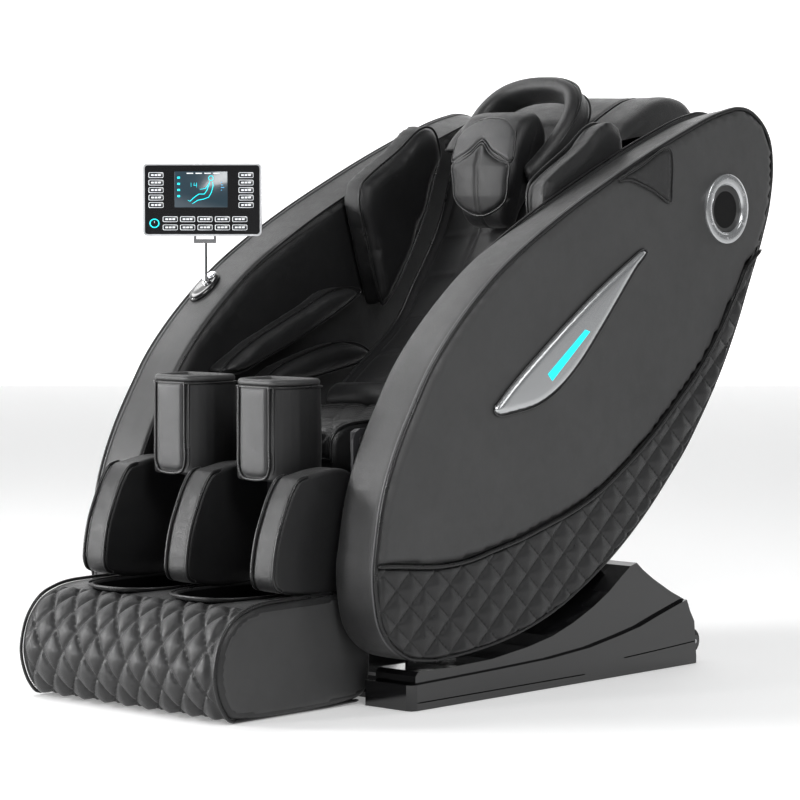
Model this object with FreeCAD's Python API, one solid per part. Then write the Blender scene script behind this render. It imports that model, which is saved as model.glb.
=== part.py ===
import FreeCAD, Part
import math
import os

os.makedirs("parts", exist_ok=True)
V = FreeCAD.Vector

# ---- driving dimensions, millimetres -------------------------------------
# Frame: +Z up, the sitter faces -Y, +X is the sitter's left.
SHELL_OUT = 380.0        # half width over the two side shells
SHELL_IN = 273.0         # half of the clear width between the shells
PANEL_T = 12.0           # side panel thickness
RIM_T = 24.0             # wall of the side rim
BASE_HALF = 392.0        # half width of the base skirt
BASE_FRONT = -367.0
BASE_REAR = 460.0
ARM_IN = 278.0           # inner face of the base's two front arms
COL_HALF = 180.0         # half width of the seat and back cushions
LEG_HALF = 250.0         # half width over the calf pads
PAD_W = 57.0             # width of one calf pad
FOOT_HALF = 260.0        # half width of the footrest
TILT = (-40.0, 330.0)    # seat tilt axis (y, z)
KNEE = (-352.0, 475.0)   # legrest axis
HIP = (20.0, 470.0)      # backrest axis
PIN_R = 10.0
RUN = 0.05               # radial running clearance
LEAN = math.radians(32.5)  # backrest angle from vertical
D = (math.sin(LEAN), math.cos(LEAN))      # up the backrest (y, z)
N = (math.cos(LEAN), -math.sin(LEAN))     # out of the back, to the rear
CARRIAGE_START = 50.0
RAIL_BASE = (250.0, 590.0)
RAIL_LEN = 430.0

# leaf-shaped outline of a side shell (y, z)
SHELL = [(-282, 82), (-322, 85), (-350, 90), (-372, 99), (-394, 113), (-414, 133), (-430, 161), (-440, 206),
         (-443, 251), (-438, 294), (-420, 381), (-384, 467), (-333, 553), (-298, 605), (-252, 657), (-194, 711),
         (-114, 774), (-22, 831), (83, 887), (200, 942), (288, 981), (375, 1017), (470, 1053), (519, 1070),
         (569, 1083), (604, 1089), (638, 1086), (666, 1074), (691, 1055), (708, 1033), (716, 1012), (720, 982),
         (720, 957), (716, 926), (707, 886), (692, 846), (676, 808), (660, 776), (639, 733), (609, 670),
         (577, 611), (546, 561), (514, 516), (481, 473), (440, 423), (387, 370), (324, 312), (261, 262),
         (213, 229), (168, 202), (122, 177), (60, 147), (-10, 122), (-80, 104), (-152, 92), (-222, 85)]
# seam between the smooth panel and the quilted panel
SEAM = [(-443, 264), (-398, 261), (-297, 252), (-246, 252), (-198, 256), (-141, 267), (-65, 282), (0, 299),
        (102, 328), (178, 360), (255, 404), (332, 455), (412, 519), (469, 567), (517, 616), (562, 671),
        (617, 749), (638, 779), (676, 808)]


def pl(pts):
    w = Part.makePolygon([V(0, y, z) for y, z in list(pts) + [pts[0]]])
    return Part.Face(w)


def prism(pts, x0, x1):
    """YZ outline, extruded from x0 to x1."""
    f = pl(pts)
    f.translate(V(min(x0, x1), 0, 0))
    return f.extrude(V(abs(x1 - x0), 0, 0))


def plan(pts, z0, z1):
    """XY outline, extruded from z0 to z1."""
    w = Part.makePolygon([V(x, y, z0) for x, y in list(pts) + [pts[0]]])
    return Part.Face(w).extrude(V(0, 0, z1 - z0))


def box(x0, x1, y0, y1, z0, z1):
    return Part.makeBox(abs(x1 - x0), y1 - y0, z1 - z0, V(min(x0, x1), y0, z0))


def cyl(r, p, d, h):
    return Part.makeCylinder(r, h, V(*p), V(*d))


def xcyl(r, y, z, x0, x1):
    return cyl(r, (min(x0, x1), y, z), (1, 0, 0), abs(x1 - x0))


def inset(pts, d):
    """Closed outline moved inwards by d (counter-clockwise or clockwise)."""
    n = len(pts)
    area = sum(pts[i][0] * pts[(i + 1) % n][1] - pts[(i + 1) % n][0] * pts[i][1] for i in range(n))
    s = 1 if area > 0 else -1
    out = []
    for i in range(n):
        a, b, c = pts[i - 1], pts[i], pts[(i + 1) % n]
        u = (b[0] - a[0], b[1] - a[1])
        w = (c[0] - b[0], c[1] - b[1])
        lu, lw = math.hypot(*u), math.hypot(*w)
        n1 = (-u[1] / lu * s, u[0] / lu * s)
        n2 = (-w[1] / lw * s, w[0] / lw * s)
        m = (n1[0] + n2[0], n1[1] + n2[1])
        k = d / max(0.5, (m[0] * n1[0] + m[1] * n1[1]))
        out.append((b[0] + m[0] * k, b[1] + m[1] * k))
    return out


def shift(pts, d):
    """Open line moved by d to its right-hand side."""
    out = []
    for i, p in enumerate(pts):
        a, c = pts[max(0, i - 1)], pts[min(len(pts) - 1, i + 1)]
        u = (c[0] - a[0], c[1] - a[1])
        l = math.hypot(*u)
        out.append((p[0] + u[1] / l * d, p[1] - u[0] / l * d))
    return out


def both(shape):
    return Part.makeCompound([shape, shape.mirror(V(0, 0, 0), V(1, 0, 0))])


def mir(shape):
    return shape.mirror(V(0, 0, 0), V(1, 0, 0))


def fillet(shape, r, test):
    es = [e for e in shape.Edges if test(e)]
    try:
        f = shape.makeFillet(r, es)
        if f.isValid() and f.Volume > 0:
            return f
    except Exception:
        pass
    return shape


def save(name, shape):
    shape = shape.removeSplitter() if shape.ShapeType == "Solid" else shape
    solids = [s for s in shape.Solids]
    out = solids[0] if len(solids) == 1 else Part.makeCompound(solids)
    assert all(s.isValid() and s.Volume > 0 for s in solids), name
    print("%-24s solids %d volume %.0f" % (name, len(solids), sum(s.Volume for s in solids)))
    out.exportStep("parts/%s.step" % name)


def pair(stem, shape):
    """The shape is the sitter's left (+X) one; the right one is its mirror image."""
    save(stem + "_left", shape)
    save(stem + "_right", mir(shape))


# ---- base ------------------------------------------------------------------
IN = BASE_HALF - 8.5
pan_plan = [(-IN, BASE_FRONT + 17), (-IN + 8.5, BASE_FRONT + 8.5), (-ARM_IN, BASE_FRONT + 8.5), (-ARM_IN, -300), (ARM_IN, -300),
            (ARM_IN, BASE_FRONT + 8.5), (IN - 8.5, BASE_FRONT + 8.5), (IN, BASE_FRONT + 17), (IN, 445), (-IN, 445)]
base_pan = plan(pan_plan, 0, 10)
pads = []
for sx in (-1, 1):
    for y in (-320, 400):
        base_pan = base_pan.cut(cyl(25, (sx * 330, y, 0), (0, 0, 1), 5))
        pads.append(cyl(24.8, (sx * 330, y, 0), (0, 0, 1), 5))
for sx in (-1, 1):
    for x0, x1 in ((333.5, 339), (362, 367.5)):
        ear = box(sx * x0, sx * x1, 420, 445, 9, 50).fuse(box(sx * x0, sx * x1, 440, 487, 25, 50)).fuse(xcyl(12.5, 487, 37.5, sx * x0, sx * x1))
        base_pan = base_pan.fuse(ear.cut(xcyl(4, 487, 37.5, sx * 330, sx * 370)))
save("base_pan", base_pan)
save("foot_pads", Part.makeCompound(pads))

# skirt: a ring 8 mm thick whose top edge rises to the rear
c = 14.0
H = BASE_HALF
ring = [(-H, BASE_FRONT + c), (-H + 4, BASE_FRONT + 4), (-H + c, BASE_FRONT), (-ARM_IN, BASE_FRONT), (-ARM_IN, BASE_FRONT + 8),
        (-H + 16, BASE_FRONT + 8), (-H + 8, BASE_FRONT + 16), (-H + 8, 446), (H - 8, 446), (H - 8, BASE_FRONT + 16),
        (H - 16, BASE_FRONT + 8), (ARM_IN, BASE_FRONT + 8), (ARM_IN, BASE_FRONT), (H - c, BASE_FRONT),
        (H - 4, BASE_FRONT + 4), (H, BASE_FRONT + c), (H, BASE_REAR - 2), (H - 4, BASE_REAR), (-H + 4, BASE_REAR), (-H, BASE_REAR - 2)]
skirt_side = [(BASE_FRONT - 1, 0), (BASE_REAR, 0), (455, 40), (451, 84), (438, 104), (427, 128), (392, 119), (342, 106), (281, 89),
              (220, 78), (130, 64), (13, 55), (-129, 51), (-266, 48), (BASE_FRONT - 1, 46)]
skirt = plan(ring, 0, 140).common(prism(skirt_side, -H - 5, H + 5))
# the rear wall's opening for the mains inlet and switch, and the slots of the wheel brackets
skirt = skirt.cut(box(-60, 60, 440, 470, 35, 75))
for sx in (-1, 1):
    skirt = skirt.cut(box(sx * 333, sx * 339.5, 440, 470, 20, 60)).cut(box(sx * 361.5, sx * 368, 440, 470, 20, 60))
save("base_skirt", skirt)

# cradle covers: hollow fairings that carry the shells and rise behind them
cr = [(-348, 12), (444, 12), (444, 116), (434, 126), (389, 146), (333, 176), (300, 197), (281, 212), (262, 207), (236, 190), (196, 163),
      (150, 139), (90, 114), (30, 95), (-40, 82), (-142, 70), (-251, 67), (-340, 68), (-348, 60)]
cradle = prism(cr, 286, 383).cut(prism(inset(cr, 5), 291, 378))
# saddle wall that rises to just under the shell
saddle = [(-270, 66), (-270, 80.5), (-222, 83), (-152, 90), (-80, 102), (-10, 120), (60, 145), (122, 175), (168, 200), (213, 227), (250, 250), (266, 206), (250, 150), (150, 130), (30, 90)]
cradle = cradle.fuse(prism(saddle, 286, 292))
for x0, x1 in ((333, 339.5), (361.5, 368)):
    cradle = cradle.cut(box(x0, x1, 415, 450, 8, 51))
pair("cradle", cradle)

# ---- welded main frame -------------------------------------------------------
fr = []
for sx in (-1, 1):
    fr.append(box(sx * 240, sx * 270, -290, 430, 10, 40))
    up = prism([(-110, 30), (30, 30), (4, 350), (-22, 362), (-58, 362), (-84, 350)], sx * 262, sx * 273)
    fr.append(up)
for y in (-290, 100, 400):
    fr.append(box(-241, 241, y, y + 30, 10, 40))
frame = fr[0].multiFuse(fr[1:])
for sx in (-1, 1):
    frame = frame.cut(xcyl(12, TILT[0], TILT[1], sx * 240, sx * 290))
save("main_frame", frame)
pins = both(xcyl(12, TILT[0], TILT[1], 243.0, 273).fuse(xcyl(16, TILT[0], TILT[1], 240.5, 243.0)))
save("axle_pins", Part.makeCompound(pins.Solids + both(xcyl(4, 487, 37.5, 333.5, 367.5)).Solids))
wheel = xcyl(25, 487, 37.5, 341, 360)
wheel = fillet(wheel, 4, lambda e: isinstance(e.Curve, Part.Circle))
wheel = wheel.cut(xcyl(4 + RUN, 487, 37.5, 335, 365))
pair("transport_wheel", wheel)

# ---- electrics ----------------------------------------------------------------
inlet = box(-58, 58, 446.2, 459, 36.5, 73.5).fuse(box(-50, -12, 420, 447, 40, 70))
inlet = inlet.cut(box(-44, -18, 438, 470, 44, 66))
for dx, dz in ((-37, 50), (-25, 50), (-31, 59)):
    inlet = inlet.fuse(cyl(2, (dx, 437, dz), (0, 1, 0), 16))
inlet = inlet.fuse(box(8, 50, 424, 447, 40, 70)).cut(box(17, 41, 430, 470, 45, 65))
save("power_inlet", inlet)
rocker = prism([(441, 48), (455, 48.5), (458.5, 55), (460.5, 61.5), (441, 61.5)], 17.6, 40.4)
save("power_switch", rocker)
save("control_box", box(-190, -60, 200, 380, 10.0, 74).fuse(box(-196, -54, 196, 384, 10, 14)))
pump = box(40, 180, 190, 370, 10.0, 20).fuse(cyl(38, (110, 210, 62), (0, 1, 0), 140)).fuse(box(80, 140, 225, 335, 18, 62))
for y in (215, 345):
    pump = pump.fuse(cyl(5, (110, y - 4, 98), (0, 0, 1), 18))
save("air_pump", pump)

# ---- side shells ------------------------------------------------------------------
XR = SHELL_OUT - PANEL_T            # the rim ends where the panels start
rim = prism(SHELL, SHELL_IN, XR).cut(prism(inset(SHELL, RIM_T), SHELL_IN - 1, XR + 1))
pair("side_rim", rim)
full = prism(SHELL, XR, SHELL_OUT)
above = prism(list(SEAM) + [(760, 808), (760, 1200), (-520, 1200), (-520, 264)], XR - 1, SHELL_OUT + 1)
BL = [(-137, 526), (-128, 517), (-72, 520), (-15, 530), (42, 555), (100, 597), (158, 654), (218, 718), (272, 776), (306, 808),
      (296, 813), (248, 790), (158, 738), (70, 681), (-16, 622), (-72, 582), (-114, 549)]
TRI = [(221, 944), (254, 945), (320, 926), (379, 903), (382, 927), (384, 975), (380, 1000), (368, 1008), (288, 973)]
SPK = (555.5, 890.0)
panel = full.common(above)
panel = panel.cut(xcyl(64, SPK[0], SPK[1], XR - 1, SHELL_OUT + 1))
panel = panel.cut(prism(inset(TRI, 0), SHELL_OUT - 4, SHELL_OUT + 1))
pair("side_panel", panel)
pair("side_quilt", full.cut(above))
pair("side_liner", prism(inset(SHELL, RIM_T + 0.5), SHELL_IN, SHELL_IN + 8))
save("corner_insets", both(prism(inset(TRI, 0.4), SHELL_OUT - 4, SHELL_OUT - 1)))
LED = [(2, 590), (114, 672), (136, 661), (22, 568)]
ledc = [(8, 586), (116, 665), (129, 661), (20, 573)]
blade = prism(BL, SHELL_OUT, SHELL_OUT + 9).cut(prism(ledc, SHELL_OUT + 5, SHELL_OUT + 12))
save("blade_housings", both(blade))
save("blade_lights", both(prism(inset(ledc, 0.3), SHELL_OUT + 5, SHELL_OUT + 10.5)))
spk_ring = xcyl(63.5, SPK[0], SPK[1], XR, SHELL_OUT).fuse(xcyl(68, SPK[0], SPK[1], SHELL_OUT, SHELL_OUT + 6))
spk_ring = spk_ring.cut(xcyl(46, SPK[0], SPK[1], XR - 1, SHELL_OUT + 7))
save("speaker_rings", both(spk_ring))
save("speaker_grilles", both(xcyl(45.7, SPK[0], SPK[1], XR, SHELL_OUT + 1).fuse(xcyl(34, SPK[0], SPK[1], XR - 40, XR))))
AU = [(-231, 576), (-163, 624), (-81, 661), (3, 696), (74, 727), (132, 733), (166, 724), (144, 708), (63, 668), (-22, 630), (-106, 598), (-180, 572)]
AL = [(-120, 545), (-22, 549), (91, 566), (160, 580), (192, 598), (176, 611), (149, 620), (91, 623), (-22, 598), (-92, 572)]
save("arm_pads_upper", both(prism(AU, 222, SHELL_IN - 0.1)))
save("arm_pads_lower", both(prism(AL, 222, SHELL_IN - 0.1)))

# ---- tablet on the sitter's right shell ------------------------------------------
TX, TY = -345.0, -165.0
# the rim's top face falls forwards here: its slope from the outline
sl = math.atan2(774 - 711, -114 + 194)
tz = 711 + (TY + 194) * math.tan(sl)
nrm = V(0, -math.sin(sl), math.cos(sl))
pc = V(TX, TY, tz) + nrm * 1.0
mount = Part.makeCylinder(22, 8, V(0, 0, 0), V(0, 0, 1))
m = FreeCAD.Matrix()
m.scale(1.0, 1.75, 1.0)
mount = mount.transformGeometry(m)
mount = mount.fuse(Part.makeCylinder(9, 4, V(0, -26, 6), V(0, 0, 1)))
mount = mount.cut(Part.makeCylinder(8.15, 9, V(0, 28.8, 2), V(0, 0, 1)))
mount.rotate(V(0, 0, 0), V(1, 0, 0), math.degrees(sl))
mount.translate(pc)
socket = cyl(7, (TX, TY, tz - 2), (0, 0, 1), 20)
mount = mount.fuse(socket)
# seated flat on the rim: everything below the rim's top plane is cut away
cutter = Part.makeBox(200, 200, 60, V(-100, -100, -60))
cutter.rotate(V(0, 0, 0), V(1, 0, 0), math.degrees(sl))
cutter.translate(V(TX, TY, tz) + nrm * 0.5)
mount = mount.cut(cutter)
mount = mount.cut(cyl(4.0 + RUN, (TX, TY, tz + 8), (0, 0, 1), 60))
mount = Part.makeCompound(mount.Solids[:1]) if len(mount.Solids) > 1 else mount
save("tablet_mount", mount)
btn = Part.makeCylinder(7.8, 7.5, V(0, 28.8, 5.6), V(0, 0, 1))
btn.rotate(V(0, 0, 0), V(1, 0, 0), math.degrees(sl))
btn.translate(pc)
save("quick_button", btn)
print("button axis", nrm, "centre", pc, "tz", tz)
PZ = 829.0
post = cyl(4.0, (TX, TY, tz + 8), (0, 0, 1), PZ - tz - 8)
post = post.fuse(cyl(7, (TX, TY, tz + 18.5), (0, 0, 1), 4))
yaw = 42.0
ca, sa = math.cos(math.radians(yaw)), math.sin(math.radians(yaw))
# yoke across the post's top, along the tablet's width
yoke = Part.makeBox(44, 10, 8, V(-22, -5, 0)).fuse(Part.makeBox(5, 8.8, 26, V(-22, -3.8, 0))).fuse(Part.makeBox(5, 8.8, 26, V(17, -3.8, 0)))
yoke = yoke.cut(cyl(2.5 + RUN, (-30, 0, 20), (1, 0, 0), 60))
yoke.rotate(V(0, 0, 0), V(0, 0, 1), yaw)
yoke.translate(V(TX, TY, PZ - 6))
post = post.fuse(yoke)
save("tablet_post", post)
TW, TH, TT = 232.0, 142.0, 13.0
case = Part.makeBox(TW, TT, TH, V(-TW / 2 - 4, -TT - 7, 8))
case = fillet(case, 9, lambda e: abs(e.tangentAt(e.FirstParameter).y) > 0.9)
case = case.cut(Part.makeBox(TW - 7, 3, TH - 7, V(-TW / 2 - 0.5, -TT - 8, 11.5)))
case = case.fuse(Part.makeBox(33, 7.2, 18, V(-16.5, -7.2, 8))).fuse(cyl(6, (-16.5, 0, 14), (1, 0, 0), 33)).fuse(cyl(2.5, (-22, 0, 14), (1, 0, 0), 44))
case.rotate(V(0, 0, 0), V(0, 0, 1), yaw)
case.translate(V(TX, TY, PZ))
save("tablet_case", case)
glass = Part.makeBox(TW - 8, 2.5, TH - 8, V(-TW / 2, -TT - 7.5, 12))
glass = fillet(glass, 6, lambda e: abs(e.tangentAt(e.FirstParameter).y) > 0.9)
glass.rotate(V(0, 0, 0), V(0, 0, 1), yaw)
glass.translate(V(TX, TY, PZ))
save("tablet_glass", glass)
print("tilt axis point", (TX, TY, PZ + 14), "dir", (ca, sa, 0))

# ---- seat ---------------------------------------------------------------------
sf = []
plate = [(-372, 456), (-372, 492), (-360, 497), (-344, 497), (-332, 488), (-300, 425), (-40, 420), (-8, 484), (8, 494), (32, 494),
         (44, 482), (44, 456), (14, 400), (-18, 308), (-28, 303), (-52, 303), (-66, 312), (-110, 376), (-300, 380)]
for sx in (-1, 1):
    p = prism(plate, sx * 246, sx * 252)
    p = p.cut(xcyl(12 + RUN, TILT[0], TILT[1], sx * 240, sx * 260))
    p = p.cut(xcyl(PIN_R, KNEE[0], KNEE[1], sx * 240, sx * 260))
    p = p.cut(xcyl(PIN_R, HIP[0], HIP[1], sx * 240, sx * 260))
    sf.append(p)
for y, z in ((-300, 384), (-175, 384), (-70, 388)):
    sf.append(box(-247, 247, y, y + 20, z, 404))
sf.append(box(-205, 205, -330, -20, 404, 410))
sf.append(box(-12, -7, -70, -50, 278, 392).fuse(box(7, 12, -70, -50, 278, 392)))
sf.append(box(48, 53, -190, -168, 308, 392).fuse(box(67, 72, -190, -168, 308, 392)))
seat_frame = sf[0].multiFuse(sf[1:])
# pins that carry the two linear actuators
seat_frame = seat_frame.fuse(xcyl(5, -60, 290, -12, 12)).fuse(xcyl(5, -179, 320, 48, 72))
save("seat_frame", seat_frame)
sc = [(-344, 425), (-349, 448), (-347, 474), (-334, 489), (-304, 500), (-200, 504), (-100, 505), (-12, 505), (-8, 496), (-8, 412), (-325, 411)]
save("seat_cushion", prism(sc, -COL_HALF, COL_HALF))
save("seat_pivot_pins", Part.makeCompound(
    both(xcyl(PIN_R, KNEE[0], KNEE[1], 246, 259.5)).Solids + both(xcyl(PIN_R, HIP[0], HIP[1], 237.5, 252)).Solids))

# ---- back ---------------------------------------------------------------------
F = [(-3, 509), (20, 522), (55, 553), (127, 606), (180, 646), (209, 675), (253, 741), (298, 806), (330, 862), (355, 930), (376, 985)]
R = [(640, 1018), (608, 968), (570, 912), (518, 832), (464, 755), (412, 682), (362, 610), (310, 540), (250, 470), (180, 408)]
back_cushion = prism(F + list(reversed(shift(F, 40))), -COL_HALF, COL_HALF)
save("back_cushion", back_cushion)
side = shift(F, 42) + list(reversed(shift(F, 146)))
bf = []
for sx in (-1, 1):
    bf.append(prism(side, sx * 182, sx * 186))
    lug = prism([(4, 452), (-2, 470), (4, 486), (20, 492), (36, 486), (60, 470), (98, 450), (98, 424), (60, 438)], sx * 238, sx * 244)
    bf.append(lug.cut(xcyl(PIN_R + RUN, HIP[0], HIP[1], sx * 230, sx * 250)))
bf.append(box(-243, 243, 78, 98, 428, 448))
bf.append(box(49, 54, 54, 80, 418, 446).fuse(box(66, 71, 54, 80, 418, 446)))
back_frame = bf[0].multiFuse(bf[1:])
Rb = [(p[0] - 9, p[1] + 6) for p in R]
cover = R + list(reversed(Rb))
save("back_cover", prism(cover, -228, 228))
ho = [(400, 1006), (440, 1052), (500, 1086), (548, 1106), (590, 1112), (632, 1102), (660, 1074), (664, 1046), (652, 1038), (600, 1030), (520, 1014), (470, 1012)]
save("hood", prism(ho, -232, 232))
rb = V(0, RAIL_BASE[0], RAIL_BASE[1])
dv, nv = V(0, D[0], D[1]), V(0, N[0], N[1])


def slab(x0, x1, s0, s1, n0, n1):
    """Block along the backrest: x, distance up the rail, distance to the rear."""
    p = [rb + dv * s0 + nv * n0, rb + dv * s1 + nv * n0, rb + dv * s1 + nv * n1, rb + dv * s0 + nv * n1]
    return prism([(q.y, q.z) for q in p], x0, x1)


def along(r, x, n, s0, s1):
    p = rb + dv * s0 + nv * n
    return cyl(r, (x, p.y, p.z), (0, dv.y, dv.z), s1 - s0)


rails = both(slab(120, 136, -2, RAIL_LEN, 36, 46))
cross = slab(-183, 183, -2, 12, 36, 48).fuse(slab(-183, 183, 390, 406, 36, 48)).fuse(slab(-183, 183, 180, 196, 57, 68))
cross = cross.fuse(slab(120, 136, 180, 196, 40, 58)).fuse(slab(-136, -120, 180, 196, 40, 58))
cross = cross.cut(along(6 + RUN, 0, 42, -10, RAIL_LEN + 10))
back_frame = back_frame.fuse(rails.Solids[0]).fuse(rails.Solids[1]).fuse(cross)
print("back frame solids", [(round(q.BoundBox.XMin), round(q.BoundBox.XMax), round(q.BoundBox.YMin), round(q.BoundBox.YMax), round(q.BoundBox.ZMin), round(q.BoundBox.ZMax)) for q in back_frame.Solids])
save("back_frame", back_frame)
c0, c1 = CARRIAGE_START - 35, CARRIAGE_START + 35
car = slab(-116, 116, c0, c1, 30, 54)
for sx in (-1, 1):
    car = car.fuse(slab(sx * 72, sx * 78, c0 + 15, c1 - 15, -8, 31))
    # runners round the rails
    car = car.fuse(slab(sx * 110, sx * 119.5, c0, c1, 30, 54)).fuse(slab(sx * 110, sx * 132, c0, c1, 30, 35.5))
pr = rb + dv * CARRIAGE_START
car = car.fuse(xcyl(7, pr.y, pr.z, -78, 78))
car = car.cut(along(6.3, 0, 42, -10, RAIL_LEN + 10))
save("massage_carriage", car)
screw = along(6, 0, 42, -2, RAIL_LEN + 4).fuse(along(14, 0, 42, -32, -2))
save("lead_screw", screw)
roller = xcyl(28, pr.y, pr.z, 36, 62)
roller = fillet(roller, 9, lambda e: isinstance(e.Curve, Part.Circle)).cut(xcyl(7 + RUN, pr.y, pr.z, 30, 70))
pair("massage_roller", roller)
print("roller axis", pr, "rail dir", dv)

# neck ring: an arch in a plane that leans back with the backrest
e1 = V(0, math.sin(math.radians(38.7)), math.cos(math.radians(38.7)))
o = V(0, 289, 969)
arch = [(-100, -8), (-122, 40), (-136, 90), (-140, 140), (-130, 188), (-103, 224), (-58, 244), (0, 250),
        (58, 244), (103, 224), (130, 188), (140, 140), (136, 90), (122, 40), (100, -8)]
pts = [o + V(a, 0, 0) + e1 * b for a, b in arch]
e2 = e1.cross(V(1, 0, 0))
if e2.y < 0:
    e2 = e2 * -1
outer = [o + V(a, 0, 0) + e1 * b for a, b in arch]
inner = [o + V(a * 0.72, 0, 0) + e1 * (b * 0.85 - 2) for a, b in reversed(arch)]
band = Part.Face(Part.makePolygon(outer + inner + [outer[0]])).extrude(e2 * 52)
save("neck_ring", band)
hp = [(284, 857), (266, 876), (259, 915), (258, 975), (276, 1030), (312, 1074), (340, 1082), (356, 1072), (372, 1040), (368, 996), (344, 938), (322, 884), (312, 857)]
# the head pad lies inside the ring
head = prism(hp, -74, 74).cut(band)
head = Part.makeCompound([sorted(head.Solids, key=lambda s: s.Volume)[-1]])
save("head_pad", head)
SP = [(136, 900), (142, 940), (168, 962), (255, 1014), (316, 1056), (349, 1064), (374, 1052), (392, 1000), (378, 960), (352, 890), (316, 820), (262, 735), (216, 688), (206, 690), (184, 740), (156, 830)]
pair("shoulder_pad", prism(SP, 213, 264))

# ---- legrest --------------------------------------------------------------------
lf = []
lp = [(-378, 222), (-378, 480), (-372, 492), (-360, 498), (-344, 498), (-332, 490), (-328, 475), (-333, 460), (-352, 440), (-358, 400), (-358, 222)]
for sx in (-1, 1):
    lf.append(prism(lp, sx * 253.0, sx * 259.0).cut(xcyl(PIN_R + RUN, KNEE[0], KNEE[1], sx * 240, sx * 262)))
lf.append(box(-253.2, 253.2, -366, -358, 222, 402))
lf.append(box(-255, -30, -364, -358, 222, 250))
lf.append(box(-12, -7, -359, -335, 312, 338).fuse(box(7, 12, -359, -335, 312, 338)))
leg_frame = lf[0].multiFuse(lf[1:])
save("leg_frame", leg_frame)
cp = [(-370, 417), (-370, 217), (-545, 217), (-561, 224), (-568, 240), (-568, 252), (-565, 276), (-556, 314), (-542, 349), (-524, 386), (-504, 411), (-490, 417)]
save("calf_pad_middle", prism(cp, -PAD_W / 2, PAD_W / 2))
pair("calf_pad", prism(cp, LEG_HALF - PAD_W, LEG_HALF))
kp = [(-39, -479), (39, -479), (57, -465), (69, -434), (70, -390), (62, -371), (-62, -371), (-70, -390), (-69, -434), (-57, -465)]
knee = plan([(x + 110, y) for x, y in kp], 402, 587)
knee = knee.cut(prism([(-371, 558), (-376, 576), (-392, 587), (-392, 600), (-360, 600), (-360, 558)], 0, 200))
pair("knee_pad", knee)

# ---- footrest ---------------------------------------------------------------------
fp = [(-335, 196), (-331, 186), (-331, 46), (-340, 22), (-362, 8), (-680, 6), (-698, 22), (-712, 48), (-720, 83), (-716, 117), (-703, 150), (-673, 182), (-637, 197), (-605, 203), (-540, 205), (-342, 205)]
foot = prism(fp, -FOOT_HALF, FOOT_HALF)
for sx in (-1, 1):
    w = [(sx * 110 + 90 * math.copysign(abs(math.cos(t)) ** 0.75, math.cos(t)), -505 + 133 * math.copysign(abs(math.sin(t)) ** 0.75, math.sin(t)))
         for t in [2 * math.pi * k / 32 + 0.01 for k in range(32)]]
    foot = foot.cut(plan(w, 40, 230))
foot = foot.cut(xcyl(6 + RUN, -520, 62, -236, 236))
# hollow underneath, closed by its floor
foot = foot.cut(box(-6, 6, -660, -380, 20, 170))
save("footrest", foot)
fr_ = xcyl(6, -520, 62, -235, 235)
for sx in (-1, 1):
    fr_ = fr_.fuse(fillet(xcyl(18, -520, 62, sx * 45, sx * 175), 5, lambda e: isinstance(e.Curve, Part.Circle)))
save("foot_roller", fr_)

# ---- linear actuators: body on the seat frame, rod towards the moving bracket ------------
def actuator(x, a, b, r, s_end, s_rod):
    """Barrel from pin a towards b up to s_end; the rod starts at s_rod and its eye stands at b."""
    u = V(0, b[0] - a[0], b[1] - a[1])
    L = u.Length
    u.normalize()
    A = V(x, a[0], a[1])
    barrel = xcyl(11, a[0], a[1], x - 6.5, x + 6.5).fuse(Part.makeCylinder(6, 30, A, u))
    barrel = barrel.fuse(Part.makeCylinder(r, s_end - 26, A + u * 26, u))
    barrel = barrel.cut(xcyl(5 + RUN, a[0], a[1], x - 8, x + 8)).cut(Part.makeCylinder(5.6, L, A + u * 29, u))
    eye = xcyl(8.6, b[0], b[1], x - 5, x + 5)
    rod = Part.makeCylinder(5.5, L - s_rod - 4, A + u * s_rod, u).fuse(eye).cut(xcyl(4.5, b[0], b[1], x - 8, x + 8))
    return barrel, rod


ab, ar = actuator(0, (-60, 290), (-345, 325), 13, 240, 42)
save("leg_actuator_body", ab)
save("leg_actuator_rod", ar)
bb, br = actuator(60, (-179, 320), (62, 428), 15, 105, 62)
save("back_actuator_body", bb)
save("back_actuator_rod", br)
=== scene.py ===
import math
import random

import bpy
import numpy as np
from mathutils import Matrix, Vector, geometry


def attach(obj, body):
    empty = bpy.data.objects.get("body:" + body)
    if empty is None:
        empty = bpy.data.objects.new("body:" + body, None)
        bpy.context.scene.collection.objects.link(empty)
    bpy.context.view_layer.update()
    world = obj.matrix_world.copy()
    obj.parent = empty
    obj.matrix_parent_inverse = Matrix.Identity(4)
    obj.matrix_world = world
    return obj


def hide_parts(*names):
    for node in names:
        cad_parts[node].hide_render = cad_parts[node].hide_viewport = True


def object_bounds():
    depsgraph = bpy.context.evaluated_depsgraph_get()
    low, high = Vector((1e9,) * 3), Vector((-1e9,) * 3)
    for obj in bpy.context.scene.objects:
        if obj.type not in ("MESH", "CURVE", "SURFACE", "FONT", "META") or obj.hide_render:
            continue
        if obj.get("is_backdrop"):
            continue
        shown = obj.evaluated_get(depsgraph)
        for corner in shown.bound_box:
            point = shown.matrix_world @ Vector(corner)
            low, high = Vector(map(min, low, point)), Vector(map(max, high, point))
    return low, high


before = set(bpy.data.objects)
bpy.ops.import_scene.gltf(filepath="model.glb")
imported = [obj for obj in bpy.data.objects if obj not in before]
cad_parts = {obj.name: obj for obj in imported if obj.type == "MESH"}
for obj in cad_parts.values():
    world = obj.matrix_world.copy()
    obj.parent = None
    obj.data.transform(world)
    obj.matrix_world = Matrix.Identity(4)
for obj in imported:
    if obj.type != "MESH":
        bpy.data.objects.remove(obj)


def note_size(key, start):
    data = {} if start else dict(sizes)
    lo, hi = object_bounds()
    data[key] = [[float(v) for v in lo], [float(v) for v in hi]]
    sizes.update(data)


sizes = {}
note_size("cad", True)
random.seed(7)
RNG = np.random.default_rng(7)
MM = 0.001
V3 = Vector


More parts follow.
